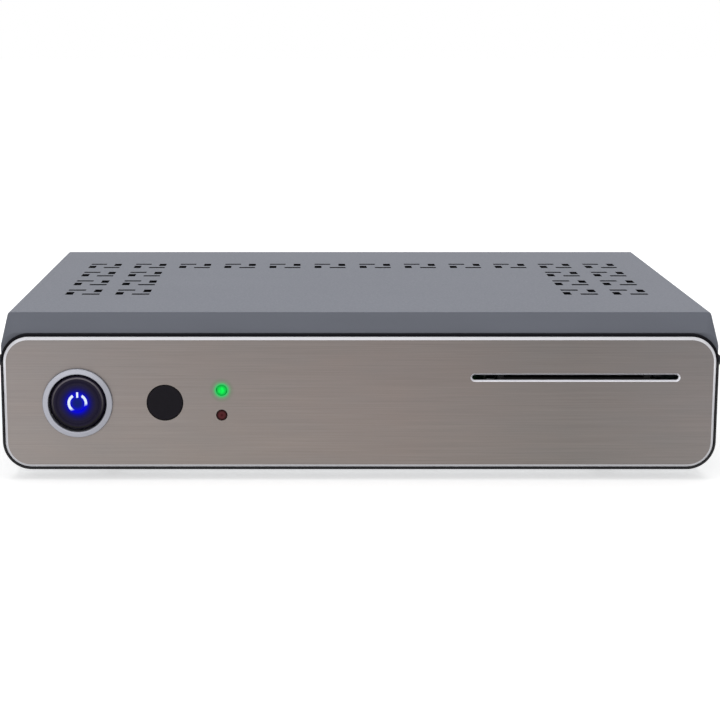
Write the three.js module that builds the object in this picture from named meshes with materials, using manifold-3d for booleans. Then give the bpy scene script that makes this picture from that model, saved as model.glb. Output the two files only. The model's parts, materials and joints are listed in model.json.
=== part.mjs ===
// Desktop satellite television receiver.
// Millimetres, +X right as seen from the front, +Y to the rear, +Z up.
// Pieces are drawn from the black front frame: its face is Y 0, its lower edge is Z 0
// and its middle is X 0. The finished group then stands on the floor at Z 0.

import * as THREE from "three";
import { mergeGeometries, mergeVertices } from "three/addons/utils/BufferGeometryUtils.js";
import Module from "manifold-3d";

const wasm = await Module();
wasm.setup();

// Housing
const FRAME_WIDTH = 280.4;
const FRAME_HEIGHT = 54.3;
const HOUSING_DEPTH = 190;
const COVER_RISE = 7.2;
const COVER_INSET = 2.1;
const COVER_CORNER = 1.1;
const COVER_LIP = 9;
const BASE_LIFT = 1;
const SHEET = 1;
const WALL = 2.2;

// Clearances
const FIT = 0.3;
const SEAT = 0.1;
const CUT = 1;

// Front frame, fascia and surround
const FRAME_CORNER = 11.2;
const FRAME_RIM = 1.2;
const RIM_DEPTH = 2;
const FRAME_FLOOR = 2.4;
const FASCIA_THICKNESS = 2;
const FASCIA_PROUD = 1.2;
const FASCIA_BEVEL = 1.1;
const SURROUND_SLOPE = 5.7;
const SURROUND_CORNER = 6;
const SURROUND_LOWER_CORNER = 3;
const TONGUE_DEPTH = 8;
const LEDGE_THICKNESS = 2;
const LEDGE_WIDTH = 4;
const LEDGE_CORNER = 5;

// Vent pattern: pinwheels of four slots
const SLOT_LENGTH = 7;
const SLOT_WIDTH = 2.9;
const PINWHEEL_SHORT = 3.46;
const PINWHEEL_LONG = 5.54;
const PINWHEEL_PITCH = 20.8;
const PINWHEEL_ROW_PITCH = 26.7;
const PINWHEEL_REAR_INSET = 49.9;
const PINWHEEL_SIDE_MARGIN = 10;
const PINWHEEL_ROWS = 4;
const PINWHEEL_SIDE_COLUMNS = 2;

// Power button
const BUTTON_INSET = 30;
const RING_DIAMETER = 27.6;
const RING_BORE = 22.8;
const RING_PROUD = 1.6;
const RING_SLOPE = 0.35;
const RING_ROUND = 0.5;
const RING_SLEEVE_WALL = 1.1;
const CAP_DIAMETER = 21.4;
const CAP_DOME = 0.5;
const CAP_RECESS = 0.6;
const CAP_ROUND = 1.2;
const CAP_FLANGE = 1.2;
const CAP_FLANGE_WIDTH = 0.8;
const CAP_STEM_DIAMETER = 6;
const BUTTON_TRAVEL = 1.2;

// Window and indicators, each set off from its neighbour on the left
const WINDOW_OFFSET = 34.1;
const WINDOW_DIAMETER = 14.5;
const LENS_OFFSET = 22.2;
const LENS_SPACING = 9.9;
const LENS_DIAMETER = 4;
const LENS_PIPE_DIAMETER = 3;
const PLUG_FLANGE = 1;
const PLUG_FLANGE_WIDTH = 1;
const PLUG_PROUD = 0.15;

// Card slot and reader
const CARD_INSET = 15.8;
const CARD_DROP = 17.15;
const CARD_OPENING = 80.5;
const CARD_GAP = 2;
const CARD_BEVEL = 0.65;
const READER_WIDTH = 60;
const READER_HEIGHT = 8;
const READER_DEPTH = 58;
const READER_MOUTH = 55;
const READER_BACK = 5;
const BRACKET_START = 18;
const BRACKET_MARGIN = 3;
const BRACKET_FOOT = 6;

// Front board
const BOARD = 1.6;
const FRONT_BOARD_STANDOFF = 10;
const FRONT_BOARD_MARGIN = 2.5;
const FRONT_BOARD_SIDE = 19;
const BOSS_DIAMETER = 5;
const BOSS_INSET = 5;
const PIN_DIAMETER = 2.4;
const PIN_PROUD = 1;
const SWITCH_SIZE = 6.2;
const SWITCH_HEIGHT = 3.6;
const PLUNGER_DIAMETER = 3.4;
const PLUNGER_PROUD = 1.6;
const PLUNGER_ENGAGED = 1.2;
const LED_SIZE = 3;
const LED_HEIGHT = 1.8;
const RECEIVER_WIDTH = 6.4;
const RECEIVER_TALL = 7.2;
const RECEIVER_DEPTH = 5.2;

// Chassis and rear panel
const FLANGE = 8;
const FRONT_FLANGE = 12;
const SIDE_FLANGE = 12;
const STANDOFF = 6;
const STANDOFF_DIAMETER = 7;
const BASE_VENT_LENGTH = 24;
const BASE_VENT_WIDTH = 3;
const BASE_VENT_PITCH = 34;
const BASE_VENT_ROW_PITCH = 12;
const BASE_VENT_MARGIN = 46;
const FOOT_HEIGHT = 5;
const FOOT_DIAMETER = 16;
const FOOT_TAPER = 1;
const FOOT_RECESS_DIAMETER = 6;
const FOOT_RECESS = 2.5;
const FOOT_SIDE_INSET = 24;
const FOOT_END_INSET = 30;

// Main board and what it carries
const MAIN_BOARD_FRONT = 26;
const MAIN_BOARD_SIDE = 8;
const BOARD_SCREW_INSET = 7;
const CHIP_SIZE = 27;
const CHIP_HEIGHT = 2.4;
const SINK_SIZE = 50;
const SINK_BASE = 4;
const SINK_HEIGHT = 16;
const SINK_FIN = 2;
const SINK_FINS = 8;
const CAPACITOR_DIAMETER = 10;
const CAPACITOR_HEIGHT = 16;
const CAPACITOR_GROOVE = 0.6;
const CAN_WIDTH = 36;
const CAN_HEIGHT = 14;
const CAN_DEPTH = 46;
const CAN_LID = 3;
const RIBBON_WIDTH = 12;
const RIBBON_THICKNESS = 0.8;
const RIBBON_PLUG = 4;
const RIBBON_REACH = 22;
const RIBBON_SIDE = 10;

// Connectors
const AERIAL_DIAMETER = 9.5;
const AERIAL_REACH = 11;
const AERIAL_BORE = 6.4;
const AERIAL_BORE_DEPTH = 1.2;
const AERIAL_CONTACT = 1.8;
const AERIAL_CONTACT_DEPTH = 6;
const AERIAL_NUT = 12.6;
const AERIAL_NUT_DEPTH = 2.5;
const AERIAL_SPACING = 19;
const SOCKET_LIP = 0.6;
const HDMI_WIDTH = 15;
const HDMI_HEIGHT = 6;
const HDMI_DEPTH = 12;
const HDMI_BEVEL = 1.8;
const HDMI_WALL = 0.6;
const HDMI_TONGUE = 1.4;
const NETWORK_WIDTH = 16;
const NETWORK_HEIGHT = 13.6;
const NETWORK_DEPTH = 18;
const NETWORK_WALL = 1.9;
const NETWORK_LATCH = 4;
const USB_WIDTH = 14.4;
const USB_HEIGHT = 15.6;
const USB_DEPTH = 17;
const USB_WALL = 0.9;
const USB_MOUTH = 5.4;
const USB_TONGUE = 1.8;
const OPTICAL_WIDTH = 10;
const OPTICAL_HEIGHT = 10;
const OPTICAL_DEPTH = 13;
const OPTICAL_MOUTH = 7;
const OPTICAL_CAVITY = 10;
const SHUTTER_THICKNESS = 0.8;
const SHUTTER_RECESS = 2.2;
const JACK_SPACING = 14;
const JACK_BLOCK_HEIGHT = 14;
const JACK_BLOCK_DEPTH = 13;
const JACK_DIAMETER = 8.3;
const JACK_COLLAR = 11;
const JACK_COLLAR_DEPTH = 1.6;
const JACK_REACH = 9;
const JACK_BORE = 3.2;
const JACK_BORE_DEPTH = 7;
const INLET_WIDTH = 9;
const INLET_HEIGHT = 11;
const INLET_DEPTH = 14;
const INLET_BORE = 6.3;
const INLET_BORE_DEPTH = 9.5;
const INLET_PIN = 2;
const ROCKER_BODY_WIDTH = 12.8;
const ROCKER_BODY_HEIGHT = 18.8;
const ROCKER_BODY_DEPTH = 12;
const ROCKER_BEZEL = 1.1;
const ROCKER_BEZEL_DEPTH = 1.8;
const ROCKER_WALL = 1.4;
const ROCKER_PIVOT_DEPTH = 1.5;
const ROCKER_PROUD = 2.6;
const ROCKER_TILT = 10;
const ROCKER_RISE = 30;
const ROCKER_PIN_DIAMETER = 2;
const ROCKER_PIN_LENGTH = 0.9;

// Screws
const SCREW_DIAMETER = 2.8;
const SCREW_LENGTH = 6;
const SCREW_HEAD = 5.4;
const SCREW_HEAD_HEIGHT = 1.6;
const SIDE_SCREW_HEAD = 4.8;
const SIDE_SCREW_HEAD_HEIGHT = 2;
const SIDE_SCREW_EDGE = 0.2;
const SIDE_SCREW_PAD = 0.95;
const SIDE_SCREW_DROP = 11.3;
const SIDE_SCREW_LUG = 3;
const SCREW_EDGE = 9;

// Smoothness of arcs
const CORNER_STEPS = 5;
const BEND_STEPS = 2;
const ROUND = 26;
const SMALL_ROUND = 14;
const SCREW_ROUND = 8;
const DOME_STEPS = 3;
const SCREW_DOME_STEPS = 2;
const RIBBON_STEPS = 12;

// Places across the rear panel, from its middle to its edge at +X
const CAN_SHARES = [0.765, 0.425];
const USB_SHARE = 0.185;
const NETWORK_SHARE = 0.035;
const HDMI_SHARE = -0.13;
const OPTICAL_SHARE = -0.265;
const JACK_SHARE = -0.495;
const INLET_SHARE = -0.735;
const ROCKER_SHARE = -0.875;

// Places on the main board, from its middle and its front
const CHIP_ACROSS_SHARE = -0.12;
const CHIP_DEPTH_SHARE = 0.4;
const CAPACITOR_SHARES = [[-0.78, 0.5], [-0.62, 0.5]];
const LIP_SCREW_SHARES = [-0.85, 0, 0.85];
const CROWN_SHARE = 0.62;
const CAPACITOR_GROOVE_SHARE = 0.85;
const RIBBON_SAG_SHARE = 0.3;

// Planes and edges that the pieces share
const halfFrame = FRAME_WIDTH / 2;
const midHeight = FRAME_HEIGHT / 2;
const coverHalf = halfFrame - COVER_INSET;
const coverTop = FRAME_HEIGHT + COVER_RISE;
const innerHalf = coverHalf - SHEET - FIT;
const innerTop = coverTop - SHEET - FIT;
const baseTop = BASE_LIFT + SHEET;
const innerBottom = baseTop + FIT;
const fasciaFace = -FASCIA_PROUD;
const fasciaBack = fasciaFace + FASCIA_THICKNESS;
const floorFront = fasciaBack + FIT;
const floorBack = floorFront + FRAME_FLOOR;
const floorInset = WALL + COVER_INSET + FIT;
const surroundFront = RIM_DEPTH + FIT;
const surroundBack = surroundFront + SURROUND_SLOPE;
const tongueBack = surroundBack + TONGUE_DEPTH;
const tongueHalf = innerHalf - WALL;
const tongueBottom = innerBottom + WALL;
const tongueTop = innerTop - WALL;
const ledgeFront = floorBack + FIT;
const coverFront = surroundBack + FIT;
const panelBack = HOUSING_DEPTH - SHEET - FIT;
const panelFront = panelBack - SHEET;
const frontBoardFront = floorBack + FRONT_BOARD_STANDOFF + FIT;
const frontBoardBack = frontBoardFront + BOARD;
const frontBoardBottom = tongueBottom + FRONT_BOARD_MARGIN;
const mainBoardBottom = baseTop + STANDOFF + FIT;
const mainBoardTop = mainBoardBottom + BOARD;
const mainBoardBack = panelFront - FIT;
const mainBoardHalf = innerHalf - MAIN_BOARD_SIDE;
const onBoard = mainBoardTop + SEAT;
const buttonX = BUTTON_INSET - halfFrame;
const windowX = buttonX + WINDOW_OFFSET;
const lensX = windowX + LENS_OFFSET;
const lensHeights = [midHeight + LENS_SPACING / 2, midHeight - LENS_SPACING / 2];
const cardX = halfFrame - CARD_INSET - CARD_OPENING / 2;
const cardHeight = FRAME_HEIGHT - CARD_DROP;
const sleeveRadius = RING_BORE / 2 + RING_SLEEVE_WALL;
const sleeveBack = floorBack + FIT;
const stemBack = frontBoardFront - SEAT - SWITCH_HEIGHT - PLUNGER_PROUD - SEAT;
const screwHole = SCREW_DIAMETER / 2 + FIT;
const sideScrewY = surroundFront + (SURROUND_SLOPE + FIT) / 2;
const sideScrewZ = FRAME_HEIGHT - SIDE_SCREW_DROP;
const sideScrewSeat = halfFrame - COVER_INSET / 2 + SIDE_SCREW_PAD;

// Solids from closed geometry
function solid(geometry) {
  const bare = geometry.clone();
  bare.deleteAttribute("normal");
  bare.deleteAttribute("uv");
  const merged = mergeVertices(bare);
  const mesh = new wasm.Mesh({
    numProp: 3,
    vertProperties: new Float32Array(merged.attributes.position.array),
    triVerts: new Uint32Array(merged.index.array),
  });
  return new wasm.Manifold(mesh);
}

function boxGeometry(x0, x1, y0, y1, z0, z1) {
  const geometry = new THREE.BoxGeometry(x1 - x0, y1 - y0, z1 - z0);
  geometry.translate((x0 + x1) / 2, (y0 + y1) / 2, (z0 + z1) / 2);
  return geometry;
}

function box(x0, x1, y0, y1, z0, z1) {
  return solid(boxGeometry(x0, x1, y0, y1, z0, z1));
}

function blocks(geometries) {
  return solid(mergeGeometries(geometries));
}

// A shape drawn across and up, pushed from front to back
function prismY(shape, front, back, x = 0, z = 0, curveSegments = CORNER_STEPS) {
  const options = { depth: back - front, bevelEnabled: false, curveSegments };
  const geometry = new THREE.ExtrudeGeometry(shape, options);
  geometry.rotateX(Math.PI / 2);
  geometry.translate(x, back, z);
  return solid(geometry);
}

// A profile of radius and depth, turned about an axis that runs front to back
function turnedY(profile, x, z, segments = SMALL_ROUND) {
  const points = profile.map(([radius, depth]) => new THREE.Vector2(radius, depth));
  const geometry = new THREE.LatheGeometry(points, segments);
  geometry.translate(x, 0, z);
  return solid(geometry);
}

// A profile of radius and height, turned about an upright axis
function turnedZ(profile, x, y, segments = SMALL_ROUND) {
  const points = profile.map(([radius, height]) => new THREE.Vector2(radius, height));
  const geometry = new THREE.LatheGeometry(points, segments);
  geometry.rotateX(Math.PI / 2);
  geometry.translate(x, y, 0);
  return solid(geometry);
}

function rodY(radius, front, back, x, z, segments = SMALL_ROUND) {
  return turnedY([[0, front], [radius, front], [radius, back], [0, back]], x, z, segments);
}

function rodZ(radius, bottom, top, x, y, segments = SMALL_ROUND) {
  return turnedZ([[0, bottom], [radius, bottom], [radius, top], [0, top]], x, y, segments);
}

function rodX(radius, from, to, y, z, segments = SMALL_ROUND) {
  const geometry = new THREE.CylinderGeometry(radius, radius, to - from, segments);
  geometry.rotateZ(Math.PI / 2);
  geometry.translate((from + to) / 2, y, z);
  return solid(geometry);
}

// A rounded outline across and up at one depth, anticlockwise from the front
function outline({ half, bottom, top, upper, lower = upper, y }) {
  const corners = [
    [half - lower, bottom + lower, lower],
    [half - upper, top - upper, upper],
    [upper - half, top - upper, upper],
    [lower - half, bottom + lower, lower],
  ];
  const quarter = Math.PI / 2;
  return corners.flatMap(([x, z, radius], corner) => {
    const start = (corner - 1) * quarter;
    return Array.from({ length: CORNER_STEPS + 1 }, (_, step) => {
      const angle = start + (quarter * step) / CORNER_STEPS;
      return new THREE.Vector3(x + radius * Math.cos(angle), y, z + radius * Math.sin(angle));
    });
  });
}

function movedTo(loop, y) {
  return loop.map((point) => new THREE.Vector3(point.x, y, point.z));
}

// Convex outlines with the same number of points, joined from front to back
function loft(loops) {
  const count = loops[0].length;
  const positions = loops.flat().flatMap((point) => [point.x, point.y, point.z]);
  const indices = [];
  for (let level = 0; level < loops.length - 1; level += 1) {
    for (let side = 0; side < count; side += 1) {
      const next = (side + 1) % count;
      const near = level * count;
      const far = near + count;
      indices.push(near + side, far + side, far + next);
      indices.push(near + side, far + next, near + next);
    }
  }
  const last = (loops.length - 1) * count;
  for (let side = 1; side < count - 1; side += 1) {
    indices.push(0, side, side + 1);
    indices.push(last, last + side + 1, last + side);
  }
  const geometry = new THREE.BufferGeometry();
  geometry.setAttribute("position", new THREE.Float32BufferAttribute(positions, 3));
  geometry.setIndex(indices);
  return solid(geometry);
}

function finish(color, roughness, metalness = 0) {
  return new THREE.MeshStandardMaterial({ color, roughness, metalness });
}

const finishes = {
  paint: finish(0x85888f, 0.55, 0.2),
  surround: finish(0x696c74, 0.5),
  black: finish(0x24232a, 0.35),
  fascia: finish(0x8c847f, 0.35, 0.8),
  chrome: finish(0xc4c6cc, 0.15, 1),
  cap: finish(0x24233c, 0.25),
  window: finish(0x1f1d22, 0.2),
  green: finish(0x1fe860, 0.3),
  red: finish(0x5a1c20, 0.3),
  steel: finish(0xa9abad, 0.4, 0.9),
  board: finish(0x1f5a34, 0.6),
  chip: finish(0x1c1c1e, 0.5),
  aluminium: finish(0xb4b6b8, 0.4, 0.9),
  plastic: finish(0x1d1d1f, 0.5),
  ribbon: finish(0xd8d8d4, 0.6),
  rubber: finish(0x222222, 0.85),
  yellow: finish(0xd8b020, 0.45),
  white: finish(0xd8d8d8, 0.45),
  crimson: finish(0xa82020, 0.45),
  screw: finish(0x2c2c2e, 0.4, 0.8),
};

const receiver = new THREE.Group();

function add(name, body, material) {
  const { vertProperties, triVerts } = body.getMesh();
  const geometry = new THREE.BufferGeometry();
  geometry.setAttribute("position", new THREE.BufferAttribute(vertProperties, 3));
  geometry.setIndex(new THREE.BufferAttribute(triVerts, 1));
  geometry.computeVertexNormals();
  const mesh = new THREE.Mesh(geometry, material);
  mesh.name = name;
  receiver.add(mesh);
}

// Top cover: a folded sheet with pinwheel vents and a lip over the rear panel
function slotsOfPinwheel(x, y) {
  const bottom = coverTop - SHEET - CUT;
  const top = coverTop + CUT;
  const along = SLOT_LENGTH / 2;
  const across = SLOT_WIDTH / 2;
  const slots = [
    [-PINWHEEL_SHORT, PINWHEEL_LONG, along, across],
    [-PINWHEEL_LONG, -PINWHEEL_SHORT, across, along],
    [PINWHEEL_SHORT, -PINWHEEL_LONG, along, across],
    [PINWHEEL_LONG, PINWHEEL_SHORT, across, along],
  ];
  return slots.map(([dx, dy, halfX, halfY]) =>
    boxGeometry(x + dx - halfX, x + dx + halfX, y + dy - halfY, y + dy + halfY, bottom, top));
}

function ventPattern() {
  const reach = PINWHEEL_LONG + SLOT_WIDTH / 2;
  const span = 2 * (coverHalf - PINWHEEL_SIDE_MARGIN - reach);
  const columns = Math.floor(span / PINWHEEL_PITCH) + 1;
  const slots = [];
  for (let row = 0; row < PINWHEEL_ROWS; row += 1) {
    const y = HOUSING_DEPTH - PINWHEEL_REAR_INSET - row * PINWHEEL_ROW_PITCH;
    for (let column = 0; column < columns; column += 1) {
      const fromSide = Math.min(column, columns - 1 - column);
      const x = (column - (columns - 1) / 2) * PINWHEEL_PITCH;
      if (row === 0 || fromSide < PINWHEEL_SIDE_COLUMNS) {
        slots.push(...slotsOfPinwheel(x, y));
      }
    }
  }
  return blocks(slots);
}

function coverSection() {
  const inner = coverHalf - SHEET;
  const bend = COVER_CORNER;
  const shape = new THREE.Shape();
  shape.moveTo(-coverHalf, BASE_LIFT);
  shape.lineTo(-inner, BASE_LIFT);
  shape.lineTo(-inner, coverTop - bend);
  shape.absarc(bend - coverHalf, coverTop - bend, bend - SHEET, Math.PI, Math.PI / 2, true);
  shape.absarc(coverHalf - bend, coverTop - bend, bend - SHEET, Math.PI / 2, 0, true);
  shape.lineTo(inner, BASE_LIFT);
  shape.lineTo(coverHalf, BASE_LIFT);
  shape.absarc(coverHalf - bend, coverTop - bend, bend, 0, Math.PI / 2, false);
  shape.absarc(bend - coverHalf, coverTop - bend, bend, Math.PI / 2, Math.PI, false);
  return shape;
}

const lipScrewPlaces = LIP_SCREW_SHARES.map((share) => share * innerHalf);
const lipScrewZ = coverTop - SHEET - COVER_LIP / 2;
const rearScrewY = panelFront - FLANGE / 2;
const rearScrewZ = coverTop - SHEET - SCREW_EDGE;

function topCover() {
  const sheet = prismY(coverSection(), coverFront, HOUSING_DEPTH, 0, 0, BEND_STEPS);
  const lipHalf = coverHalf - COVER_CORNER;
  const lipBottom = coverTop - SHEET - COVER_LIP;
  const lipTop = coverTop - SHEET / 2;
  const lip = box(-lipHalf, lipHalf, HOUSING_DEPTH - SHEET, HOUSING_DEPTH, lipBottom, lipTop);
  let cover = sheet.add(lip).subtract(ventPattern());
  for (const x of lipScrewPlaces) {
    const hole = rodY(screwHole, panelBack, HOUSING_DEPTH + CUT, x, lipScrewZ, SCREW_ROUND);
    cover = cover.subtract(hole);
  }
  const through = coverHalf + CUT;
  return cover.subtract(rodX(screwHole, -through, through, rearScrewY, rearScrewZ, SCREW_ROUND));
}

// Front surround: a moulded shell lofted from the box to the rounded frame
function surroundOutside() {
  const front = outline({
    half: halfFrame, bottom: 0, top: FRAME_HEIGHT,
    upper: SURROUND_CORNER, lower: FRAME_CORNER, y: surroundFront,
  });
  const back = outline({
    half: coverHalf, bottom: BASE_LIFT, top: coverTop,
    upper: COVER_CORNER, lower: SURROUND_LOWER_CORNER, y: surroundBack,
  });
  return loft([front, back]);
}

function surroundInside() {
  const front = outline({
    half: halfFrame - WALL, bottom: WALL, top: FRAME_HEIGHT - WALL,
    upper: SURROUND_CORNER - WALL, lower: FRAME_CORNER - WALL, y: surroundFront,
  });
  const back = outline({
    half: tongueHalf, bottom: tongueBottom, top: tongueTop,
    upper: COVER_CORNER, lower: COVER_CORNER, y: surroundBack,
  });
  return loft([movedTo(front, surroundFront - CUT), front, back, movedTo(back, tongueBack + CUT)]);
}

function surroundTongue() {
  const edge = outline({
    half: innerHalf, bottom: innerBottom, top: innerTop, upper: COVER_CORNER, y: tongueBack,
  });
  return loft([movedTo(edge, surroundBack - WALL / 2), edge]);
}

function surroundLedge() {
  const back = ledgeFront + LEDGE_THICKNESS;
  const plate = box(-halfFrame, halfFrame, ledgeFront, back, 0, coverTop);
  const edge = outline({
    half: tongueHalf - LEDGE_WIDTH,
    bottom: tongueBottom + LEDGE_WIDTH - WALL / 2,
    top: FRAME_HEIGHT - floorInset - LEDGE_WIDTH / 2,
    upper: LEDGE_CORNER,
    y: ledgeFront - CUT,
  });
  const opening = loft([edge, movedTo(edge, back + CUT)]);
  return plate.intersect(surroundOutside()).subtract(opening);
}

const lugOuter = halfFrame - floorInset - FIT;
const lugInner = lugOuter - SIDE_SCREW_LUG;
const lugHalf = SIDE_SCREW_HEAD / 2 + SIDE_SCREW_LUG / 2;

function lugNotch(side) {
  const near = side * (lugInner - FIT);
  const far = side * (lugOuter + FIT);
  const reach = lugHalf + FIT;
  return box(Math.min(near, far), Math.max(near, far), floorBack, sideScrewY + reach,
    sideScrewZ - reach, sideScrewZ + reach);
}

function surroundScrewPad(side) {
  const inner = side * (lugOuter + 2 * FIT);
  const outer = side * sideScrewSeat;
  const radius = SIDE_SCREW_HEAD / 2 + SIDE_SCREW_EDGE;
  return rodX(radius, Math.min(inner, outer), Math.max(inner, outer), sideScrewY, sideScrewZ);
}

const baseScrewX = coverHalf - FOOT_SIDE_INSET - FOOT_DIAMETER;
const baseScrewPlaces = [-baseScrewX, baseScrewX];
const baseScrewY = surroundBack + TONGUE_DEPTH / 2;
const baseBossTop = frontBoardBottom - FIT;

function frontSurround() {
  const shell = surroundOutside().add(surroundTongue()).subtract(surroundInside());
  let body = shell.add(surroundLedge());
  for (const side of [-1, 1]) {
    body = body.subtract(lugNotch(side)).add(surroundScrewPad(side));
  }
  for (const x of baseScrewPlaces) {
    const bossBottom = innerBottom + WALL / 2;
    body = body.add(rodZ(BOSS_DIAMETER / 2, bossBottom, baseBossTop, x, baseScrewY, SCREW_ROUND));
    body = body.subtract(rodZ(screwHole, -CUT, baseBossTop + CUT, x, baseScrewY, SCREW_ROUND));
  }
  const through = sideScrewSeat + CUT;
  return body.subtract(rodX(screwHole, -through, through, sideScrewY, sideScrewZ, SCREW_ROUND));
}

// Front frame: thin black rim, floor behind the fascia, bosses for the front board
const frontBoardLeft = buttonX - FRONT_BOARD_SIDE;
const frontBoardRight = lensX + FRONT_BOARD_SIDE;
const frontBoardTop = FRAME_HEIGHT - frontBoardBottom;
const bossPlaces = [frontBoardLeft + BOSS_INSET, frontBoardRight - BOSS_INSET].flatMap((x) =>
  [frontBoardBottom + BOSS_INSET, frontBoardTop - BOSS_INSET].map((z) => [x, z]));

function cardOpening(grow, y) {
  const half = CARD_OPENING / 2 + grow;
  const tall = CARD_GAP / 2 + grow;
  const loop = outline({ half, bottom: -tall, top: tall, upper: tall, y });
  return loop.map((point) => new THREE.Vector3(point.x + cardX, point.y, point.z + cardHeight));
}

function frontFrame() {
  const rim = outline({ half: halfFrame, bottom: 0, top: FRAME_HEIGHT, upper: FRAME_CORNER, y: 0 });
  const margin = FRAME_RIM - FIT;
  const recess = outline({
    half: halfFrame - margin, bottom: margin, top: FRAME_HEIGHT - margin,
    upper: FRAME_CORNER - margin, y: -CUT,
  });
  const floor = outline({
    half: halfFrame - floorInset, bottom: floorInset, top: FRAME_HEIGHT - floorInset,
    upper: FRAME_CORNER - floorInset, y: floorFront,
  });
  let body = loft([rim, movedTo(rim, RIM_DEPTH)]);
  body = body.subtract(loft([recess, movedTo(recess, floorFront)]));
  body = body.add(loft([floor, movedTo(floor, floorBack)]));
  for (const [x, z] of bossPlaces) {
    const bossBack = frontBoardFront - FIT;
    const profile = [
      [0, floorFront + FIT],
      [BOSS_DIAMETER / 2, floorFront + FIT],
      [BOSS_DIAMETER / 2, bossBack],
      [PIN_DIAMETER / 2, bossBack],
      [PIN_DIAMETER / 2, frontBoardBack + PIN_PROUD],
      [0, frontBoardBack + PIN_PROUD],
    ];
    body = body.add(turnedY(profile, x, z, SCREW_ROUND));
  }
  for (const side of [-1, 1]) {
    const ends = [side * lugInner, side * lugOuter].sort((a, b) => a - b);
    body = body.add(box(...ends, floorFront + FIT, sideScrewY + lugHalf,
      sideScrewZ - lugHalf, sideScrewZ + lugHalf));
  }
  const through = lugOuter + CUT;
  body = body.subtract(rodX(screwHole, -through, through, sideScrewY, sideScrewZ, SCREW_ROUND));
  for (const [radius, x, z, segments] of frontHoles()) {
    body = body.subtract(rodY(radius, -CUT, floorBack + CUT, x, z, segments));
  }
  const slot = cardOpening(CARD_BEVEL, -CUT);
  return body.subtract(loft([slot, movedTo(slot, floorBack + CUT)]));
}

function frontHoles() {
  return [
    [sleeveRadius + FIT, buttonX, midHeight, ROUND],
    [WINDOW_DIAMETER / 2, windowX, midHeight, ROUND],
    ...lensHeights.map((z) => [LENS_DIAMETER / 2 + FIT, lensX, z, SMALL_ROUND]),
  ];
}

// Fascia plate: bevelled all round, with a bevelled card slot
function fasciaPlate() {
  const edge = {
    half: halfFrame - FRAME_RIM, bottom: FRAME_RIM, top: FRAME_HEIGHT - FRAME_RIM,
    upper: FRAME_CORNER - FRAME_RIM, y: fasciaBack,
  };
  const back = outline(edge);
  const face = outline({
    half: edge.half - FASCIA_BEVEL, bottom: edge.bottom + FASCIA_BEVEL,
    top: edge.top - FASCIA_BEVEL, upper: edge.upper - FASCIA_BEVEL, y: fasciaFace,
  });
  let plate = loft([face, movedTo(back, fasciaFace + FASCIA_BEVEL), back]);
  for (const [radius, x, z, segments] of frontHoles()) {
    plate = plate.subtract(rodY(radius, fasciaFace - CUT, fasciaBack + CUT, x, z, segments));
  }
  const mouth = [
    cardOpening(CARD_BEVEL + CUT, fasciaFace - CUT),
    cardOpening(0, fasciaFace + CARD_BEVEL),
    cardOpening(0, fasciaBack + CUT),
  ];
  return plate.subtract(loft(mouth));
}

// Power button: chromed ring, sprung cap with a stem, plunger of the push switch
function powerRing() {
  const bore = RING_BORE / 2;
  const outer = RING_DIAMETER / 2;
  const seat = fasciaFace - SEAT;
  const innerFace = fasciaFace - RING_PROUD + RING_ROUND;
  const outerFace = innerFace + RING_SLOPE;
  const innerRound = [];
  const outerRound = [];
  for (let step = 0; step <= DOME_STEPS; step += 1) {
    const angle = (Math.PI * step) / (2 * DOME_STEPS);
    const sine = RING_ROUND * Math.sin(angle);
    const cosine = RING_ROUND * Math.cos(angle);
    innerRound.push([bore + RING_ROUND - cosine, innerFace - sine]);
    outerRound.push([outer - RING_ROUND + sine, outerFace - cosine]);
  }
  const profile = [
    ...innerRound,
    ...outerRound,
    [outer, seat],
    [sleeveRadius, seat],
    [sleeveRadius, sleeveBack],
    [bore, sleeveBack],
    innerRound[0],
  ];
  return turnedY(profile, buttonX, midHeight, ROUND);
}

function powerButton() {
  const radius = CAP_DIAMETER / 2;
  const front = fasciaFace - RING_PROUD + CAP_RECESS;
  const shoulder = front + CAP_DOME;
  const flat = radius - CAP_ROUND;
  const dome = [];
  for (let step = 0; step <= DOME_STEPS; step += 1) {
    const share = step / DOME_STEPS;
    dome.push([flat * share, front + CAP_DOME * share * share]);
  }
  const round = [];
  for (let step = 1; step <= DOME_STEPS; step += 1) {
    const angle = (Math.PI * step) / (2 * DOME_STEPS);
    round.push([
      flat + CAP_ROUND * Math.sin(angle),
      shoulder + CAP_ROUND * (1 - Math.cos(angle)),
    ]);
  }
  const flangeFront = sleeveBack + FIT;
  const flangeRadius = RING_BORE / 2 + CAP_FLANGE_WIDTH;
  const profile = [
    ...dome,
    ...round,
    [radius, flangeFront],
    [flangeRadius, flangeFront],
    [flangeRadius, flangeFront + CAP_FLANGE],
    [CAP_STEM_DIAMETER / 2, flangeFront + CAP_FLANGE],
    [CAP_STEM_DIAMETER / 2, stemBack],
    [0, stemBack],
  ];
  return turnedY(profile, buttonX, midHeight, ROUND);
}

const switchBack = frontBoardFront - SEAT;
const switchFront = switchBack - SWITCH_HEIGHT;

function switchBody() {
  const half = SWITCH_SIZE / 2;
  const block = box(buttonX - half, buttonX + half, switchFront, switchBack,
    midHeight - half, midHeight + half);
  const pocket = switchFront + PLUNGER_ENGAGED + BUTTON_TRAVEL + FIT;
  const radius = PLUNGER_DIAMETER / 2 + FIT;
  return block.subtract(rodY(radius, switchFront - CUT, pocket, buttonX, midHeight));
}

function switchPlunger() {
  const front = stemBack + SEAT;
  const back = switchFront + PLUNGER_ENGAGED;
  return rodY(PLUNGER_DIAMETER / 2, front, back, buttonX, midHeight);
}

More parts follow.
